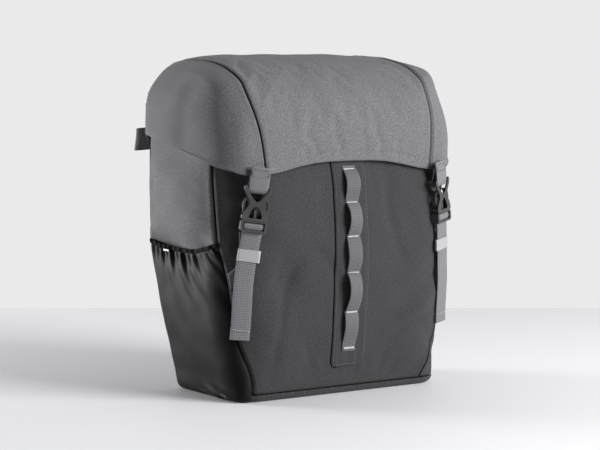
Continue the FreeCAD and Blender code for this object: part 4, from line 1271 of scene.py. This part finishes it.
def make_daisy():
    ground = 2.1 * MM
    path, lean = [], []
    stops = [DAISY_TACKS[0] + 4 * MM] + list(DAISY_TACKS) + [DAISY_TACKS[-1] - 5 * MM]
    for k, (high, low) in enumerate(zip(stops, stops[1:])):
        loop = high - low > 20 * MM
        steps = 56 if loop else 4
        for i in range(steps):
            z = high - (high - low) * i / steps
            rise, slip = 0.0, 0.0
            if loop:
                crest, tall, full, sideways = DAISY_LOOPS[k - 1]
                t = (high - z) / (high - low)
                u = t ** (math.log(0.5) / math.log(crest))
                rise = tall * MM * math.sin(PI * u) ** (0.9 if u < 0.5 else 1.25 / full)
                slip = sideways * MM * math.sin(PI * t) + 0.5 * MM * math.sin(2 * PI * t + k)
            y = float(rest_point(0.0, z)[0][1])
            path.append((slip, y - ground - rise, z))
            swing = min(1.0, rise / DAISY_STAND)
            lean.append((1, 0.22 * math.sin(3.1 * k + 1.0) * swing, 0.12 * math.sin(2.3 * k + 0.5) * swing))
    # the darker copy of the grey webbing paints shade on the loops, which face the key lamp
    web = ribbon("daisy_web", path, lean, DAISY_WIDTH, 1.5 * MM, GREY_WEB_PAINTED_SHADE)
    finish_piece(web, "bag", "grey_webbing", "daisy_chain_webbing")

    lines = []
    for z in DAISY_TACKS:
        y = float(rest_point(0.0, z)[0][1]) - ground - 0.95 * MM
        for k in range(7):
            x = -7.2 * MM + k * 2.05 * MM
            tilt = 0.9 * MM * (1 if k % 2 else -1)
            lines.append((((x, y, z - tilt), (x + 2.0 * MM, y, z + tilt)), FORWARD))
        for dz in (-0.55, 0.1, 0.7):
            lines.append((((-7.6 * MM, y, z + dz * MM), (7.6 * MM, y, z + dz * MM)), FORWARD))
    tacks = stitches("daisy_tacks", lines, PALE_THREAD, 2.6, 2.1, 0.36)
    finish_piece(tacks, "bag", "reflective_tape", "daisy_bar_tacks")


# ------------------------------------------------------------------ rear: loops, handle, hinge, collar

def make_rear_loops():
    """A folded loop of stiff black webbing in each rear edge."""
    turn = math.radians(60)
    for name, side in SIDES:
        loop = [(-2, -3.9), (6, -4.2), (13, -4.3), (17, -2.9), (18.6, 0), (17, 2.9), (13, 4.3), (6, 4.2), (-2, 3.9)]
        flat = smooth_path([(x, y, 0) for x, y in loop], 60) * MM
        c, s = math.cos(turn), math.sin(turn)
        path = np.stack((side * (161 * MM + flat[:, 0] * c - flat[:, 1] * s),
                         97.5 * MM + flat[:, 0] * s + flat[:, 1] * c, 302.5 * MM - 0.10 * flat[:, 0]), -1)
        tilt = 0.16 * np.clip(flat[:, 0] / (19 * MM), 0, 1)
        across = np.stack((-side * tilt * c, -tilt * s, np.ones(60)), -1)
        web = ribbon("rear_web_" + name, path, across, 27 * MM, 1.8 * MM, BLACK_WEB)
        finish_piece(web, "bag", "black_webbing", "rear_loop_" + name)


def make_handle():
    """Webbing bow hanging from its two pins."""
    half = [(-53.4, 1), (-53.6, -12), (-52.6, -28), (-46, -40), (-34, -44.4), (-12, -45.0)]
    bow = half + [(-x, h) for x, h in half[::-1]]
    pin_y, pin_z = 113 * MM, 336 * MM
    path = smooth_path([(x, 0, h) for x, h in bow], 110) * MM + np.array((0, pin_y + 2.9 * MM, pin_z))
    web = ribbon("handle_web", path, (0, 1, 0), 12.2 * MM, 2.3 * MM, BLACK_WEB)
    finish_piece(web, "handle", "black_webbing", "carry_handle")
    turn = np.linspace(0, 2 * PI, 24, endpoint=False)
    for name, side in SIDES:
        ring = np.stack((0 * turn + side * 53.4 * MM, pin_y + 3.1 * MM * np.cos(turn),
                         pin_z + 3.1 * MM * np.sin(turn)), -1)
        eye = ribbon("handle_eye_" + name, ring, (1, 0, 0), 2.4 * MM, 1.8 * MM, BLACK_WEB, closed=True)
        finish_piece(eye, "handle", "black_webbing")


def make_hinge():
    """Fabric that joins the lid to the back panel."""
    rows, cols = 17, 90
    z = np.linspace(334, 358, rows) * MM
    x = np.linspace(-164.5, 164.5, cols) * MM
    y = 99.3 * MM - 0.6 * MM * bump(z, 346 * MM, 6 * MM) - 4.0 * MM * ramp(z, 347 * MM, 353 * MM)
    points = np.stack(np.broadcast_arrays(x[None], y[:, None], z[:, None]), -1)
    points[..., 1] += 0.15 * MM * roughness(points, 30 * MM, 6.0)
    strip = sheet_mesh("hinge_strip", points, points[..., (0, 2)], DARK_CLOTH, 1.4 * MM, outside=-1)
    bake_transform(strip)


def make_collar():
    """Storm collar: thin lining inside the rim, drawn in with small pleats at its elastic hem."""
    rows, cols = 44, 420
    z = np.linspace(262, 326, rows) * MM
    s = np.linspace(-1, 1, cols, endpoint=False) * float(spans(np.array(BODY_TOP))[4])
    z = z[:, None]
    points, normals = outline(s, np.minimum(z, BODY_TOP))
    pleat = np.sin(s / (5.4 * MM) + 1.5 * np.sin(s / (31 * MM)))
    draw = 25 * MM * ramp(z, 290 * MM, 330 * MM) + 1.9 * MM * ramp(z, 285 * MM, 322 * MM) * pleat
    points = points - normals * (6.9 * MM + draw + 1.0 * MM * roughness(points, 30 * MM, 2.0))[..., None]
    points[..., 2] = z
    points[-1, :, 2] += 0.8 * MM * pleat
    obj = mesh_object("collar", points, grid_faces(rows, cols, closed=True), LINING, pair(s, z))
    finish_piece(thicken(obj, 0.8 * MM), "bag", "lining_fabric", "storm_collar")
    rim = points[-1].copy()
    rim[:, 2] += 0.4 * MM
    hem = ribbon("collar_hem", rim, (0, 0, 1), 6.4 * MM, 1.8 * MM, ELASTIC, closed=True)
    finish_piece(hem, "bag", "elastic_trim", "collar_elastic_hem")


# ------------------------------------------------------------------ seams

def make_seams():
    def seam_place(sign, z, inside=0.0):
        return sign * (front_seam(z) - inside) - (seam_drift(z) if sign > 0 else 0)

    z = np.linspace(WRAP + 3 * MM, BODY_TOP - 30 * MM, 140)
    lines = [rest_point(seam_place(sign, z, 5.5 * MM), z, 0.1 * MM) for _, sign in SIDES]
    seam = stitches("body_stitches", lines, DARK_THREAD, 2.6, 3.3, 0.22)
    finish_piece(seam, "bag", "dark_fabric")

    z = np.linspace(WRAP, BODY_TOP - 20 * MM, 160)
    # a thin near-black cord along each front seam: painted shade in the seam's groove
    for name, sign in SIDES:
        trace = rest_point(seam_place(sign, z), z, 1.0 * MM)[0]
        dark_cord = tube("front_seam_shade_cord_" + name, trace, 0.85 * MM, PIPING_AND_SHADE_CORD, 6)
        finish_piece(dark_cord, "bag", "piping")
    e = float(front_seam(np.array(WRAP)))
    around = rest_point(np.linspace(-e, e, 220), WRAP, 1.0 * MM)[0]
    dark_cord = tube("base_seam_welt", around, 0.8 * MM, PIPING_AND_SHADE_CORD, 6)
    finish_piece(dark_cord, "bag", "piping")
    # a near-black cord along the patch's left edge and lower left corner: painted shadow of the patch's raised edge
    corner, radius = 9 * MM, 9.2 * MM
    turn = np.concatenate((np.zeros(110), np.arange(1, 13) / 12 * PI / 2))
    down = np.concatenate((np.linspace(PATCH_HIGH - 2 * MM, PATCH_LOW + corner, 110), np.full(12, PATCH_LOW + corner)))
    edge = rest_point(-PATCH_HALF + corner - radius * np.cos(turn), down - radius * np.sin(turn), 0.5 * MM)[0]
    dark_cord = tube("patch_edge_shadow_cord", edge, 0.7 * MM, PIPING_AND_SHADE_CORD, 6)
    finish_piece(dark_cord, "bag", "piping")

    lines = [seam_line(sign, 0.15 * MM, 0.02, 0.98, beside=4.5 * MM, count=220) for _, sign in SIDES]
    seam = stitches("lid_stitches", lines, GREY_THREAD, 2.4, 3.2, 0.22)
    finish_piece(seam, "lid", "grey_fabric")


# ------------------------------------------------------------------ moulded pieces that stay from CAD

def dress_cad():
    # first parts of node names, material, radius of the softened edges in millimetres
    groups = (
        (("buckle_",), BUCKLE, 0.55),
        (("hook_left", "hook_right", "hook_latch", "sway_hook", "handle_lugs"), HOOK, 0.9),
        (("upper_rail", "lower_rail"), RAIL, 0.5),
        (("latch_pin", "upper_rail_screws", "lower_rail_screws"), STEEL, 0.25),
        (("stiffener_board",), BOARD, 0.4),
    )
    for name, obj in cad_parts.items():
        for prefixes, material, radius in groups:
            if name.startswith(prefixes) and (material is not RAIL or not name.endswith("screws")):
                obj.data.materials.clear()
                obj.data.materials.append(material)
                for polygon in obj.data.polygons:
                    polygon.material_index = 0
                merge = obj.modifiers.new("flat faces", "DECIMATE")
                merge.decimate_type = "DISSOLVE"
                merge.angle_limit = math.radians(1.5)
                bevel = obj.modifiers.new("soft edges", "BEVEL")
                bevel.width = radius * MM
                bevel.segments = 3
                bevel.limit_method = "ANGLE"
                bevel.angle_limit = math.radians(28)
                break


# ------------------------------------------------------------------ run

simulate_body()
make_body()
make_pocket()
make_lid()
make_patch()
make_daisy()
make_straps()
make_rear_loops()
make_handle()
make_hinge()
make_collar()
make_seams()
dress_cad()

# ------------------------------------------------------------------ stage, light and camera

CAMERA_AZIMUTH = math.radians(-34)
CAMERA_ELEVATION = math.radians(4.7)
CAMERA_DISTANCE = 2.337
CAMERA_LENS = 114.6
AIM_SIDE = -5.7 * MM
AIM_HEIGHT = 196 * MM
FLOOR_GREY = 0.59
FLOOR_SIDE, FLOOR_AWAY = 4, 0.74     # metres from the bag; the floor ends 0.74 m behind it, seen from the camera


def floor_material():
    n = Nodes("floor_paint")
    speck = n.noise(n.place(), 40.0, 3.0)
    n.surface(n.mix(speck, grey(FLOOR_GREY * 0.985), grey(FLOOR_GREY)), 0.6, specular=0.2)
    return n.material


def make_stage():
    right = Vector((math.cos(CAMERA_AZIMUTH), math.sin(CAMERA_AZIMUTH), 0))
    away = Vector((-math.sin(CAMERA_AZIMUTH), math.cos(CAMERA_AZIMUTH), 0))
    places = ((-1, -FLOOR_SIDE), (1, -FLOOR_SIDE), (1, FLOOR_AWAY), (-1, FLOOR_AWAY))
    corners = [right * x * FLOOR_SIDE + away * y for x, y in places]
    floor = mesh_object("floor", corners, [(0, 1, 2, 3)], floor_material())


SHADE_SIDE = (-0.857, -0.515, 0.0)
SHADE_START, SHADE_END = -0.30, 0.55     # cosines of the angle from the shaded side
ROOM_LIGHT = 0.825
SHADE_LIGHT = 0.02
# name, place and size in metres, power in watts
LIGHTS = (("key", (1.15, -2.1, 0.95), 1.3, 142), ("side", (-1.5, 1.9, 0.30), 0.9, 118))
LIGHT_TARGET = Vector((0, 0, 0.2))


def make_light():
    world = bpy.data.worlds.new("studio")
    bpy.context.scene.world = world
    world.use_nodes = True
    tree = world.node_tree
    # a pale room with one darker side, which keeps the bag's front left corner in soft shade
    place = tree.nodes.new("ShaderNodeTexCoord")
    dot = tree.nodes.new("ShaderNodeVectorMath")
    dot.operation = "DOT_PRODUCT"
    dot.inputs[1].default_value = SHADE_SIDE
    span = tree.nodes.new("ShaderNodeMapRange")
    span.interpolation_type = "SMOOTHSTEP"
    for socket, value in zip(span.inputs[1:5], (SHADE_START, SHADE_END, ROOM_LIGHT, SHADE_LIGHT)):
        socket.default_value = value
    tree.links.new(place.outputs["Generated"], dot.inputs[0])
    tree.links.new(dot.outputs["Value"], span.inputs[0])
    background = tree.nodes["Background"]
    background.inputs[0].default_value = (1, 1, 1.005, 1)
    tree.links.new(span.outputs[0], background.inputs[1])

    for name, place, size, power in LIGHTS:
        light = bpy.data.lights.new(name, "AREA")
        light.energy = power
        light.size = size
        obj = link(bpy.data.objects.new(name, light))
        obj.location = place
        obj.rotation_mode = "QUATERNION"
        obj.rotation_quaternion = (LIGHT_TARGET - Vector(place)).to_track_quat("-Z", "Y")


def make_camera():
    camera = bpy.data.objects.new("camera", bpy.data.cameras.new("camera"))
    link(camera)
    bpy.context.scene.camera = camera
    camera.data.lens = CAMERA_LENS
    camera.data.sensor_width = 36
    camera.data.clip_end = 50
    a, e = CAMERA_AZIMUTH, CAMERA_ELEVATION
    back = Vector((math.sin(a) * math.cos(e), -math.cos(a) * math.cos(e), math.sin(e)))
    right = Vector((math.cos(a), math.sin(a), 0))
    camera.location = right * AIM_SIDE + Vector((0, 0, AIM_HEIGHT)) + back * CAMERA_DISTANCE
    camera.rotation_mode = "QUATERNION"
    camera.rotation_quaternion = (-back).to_track_quat("-Z", "Y")


make_stage()
make_light()
make_camera()
bpy.context.scene.view_settings.view_transform = "Standard"
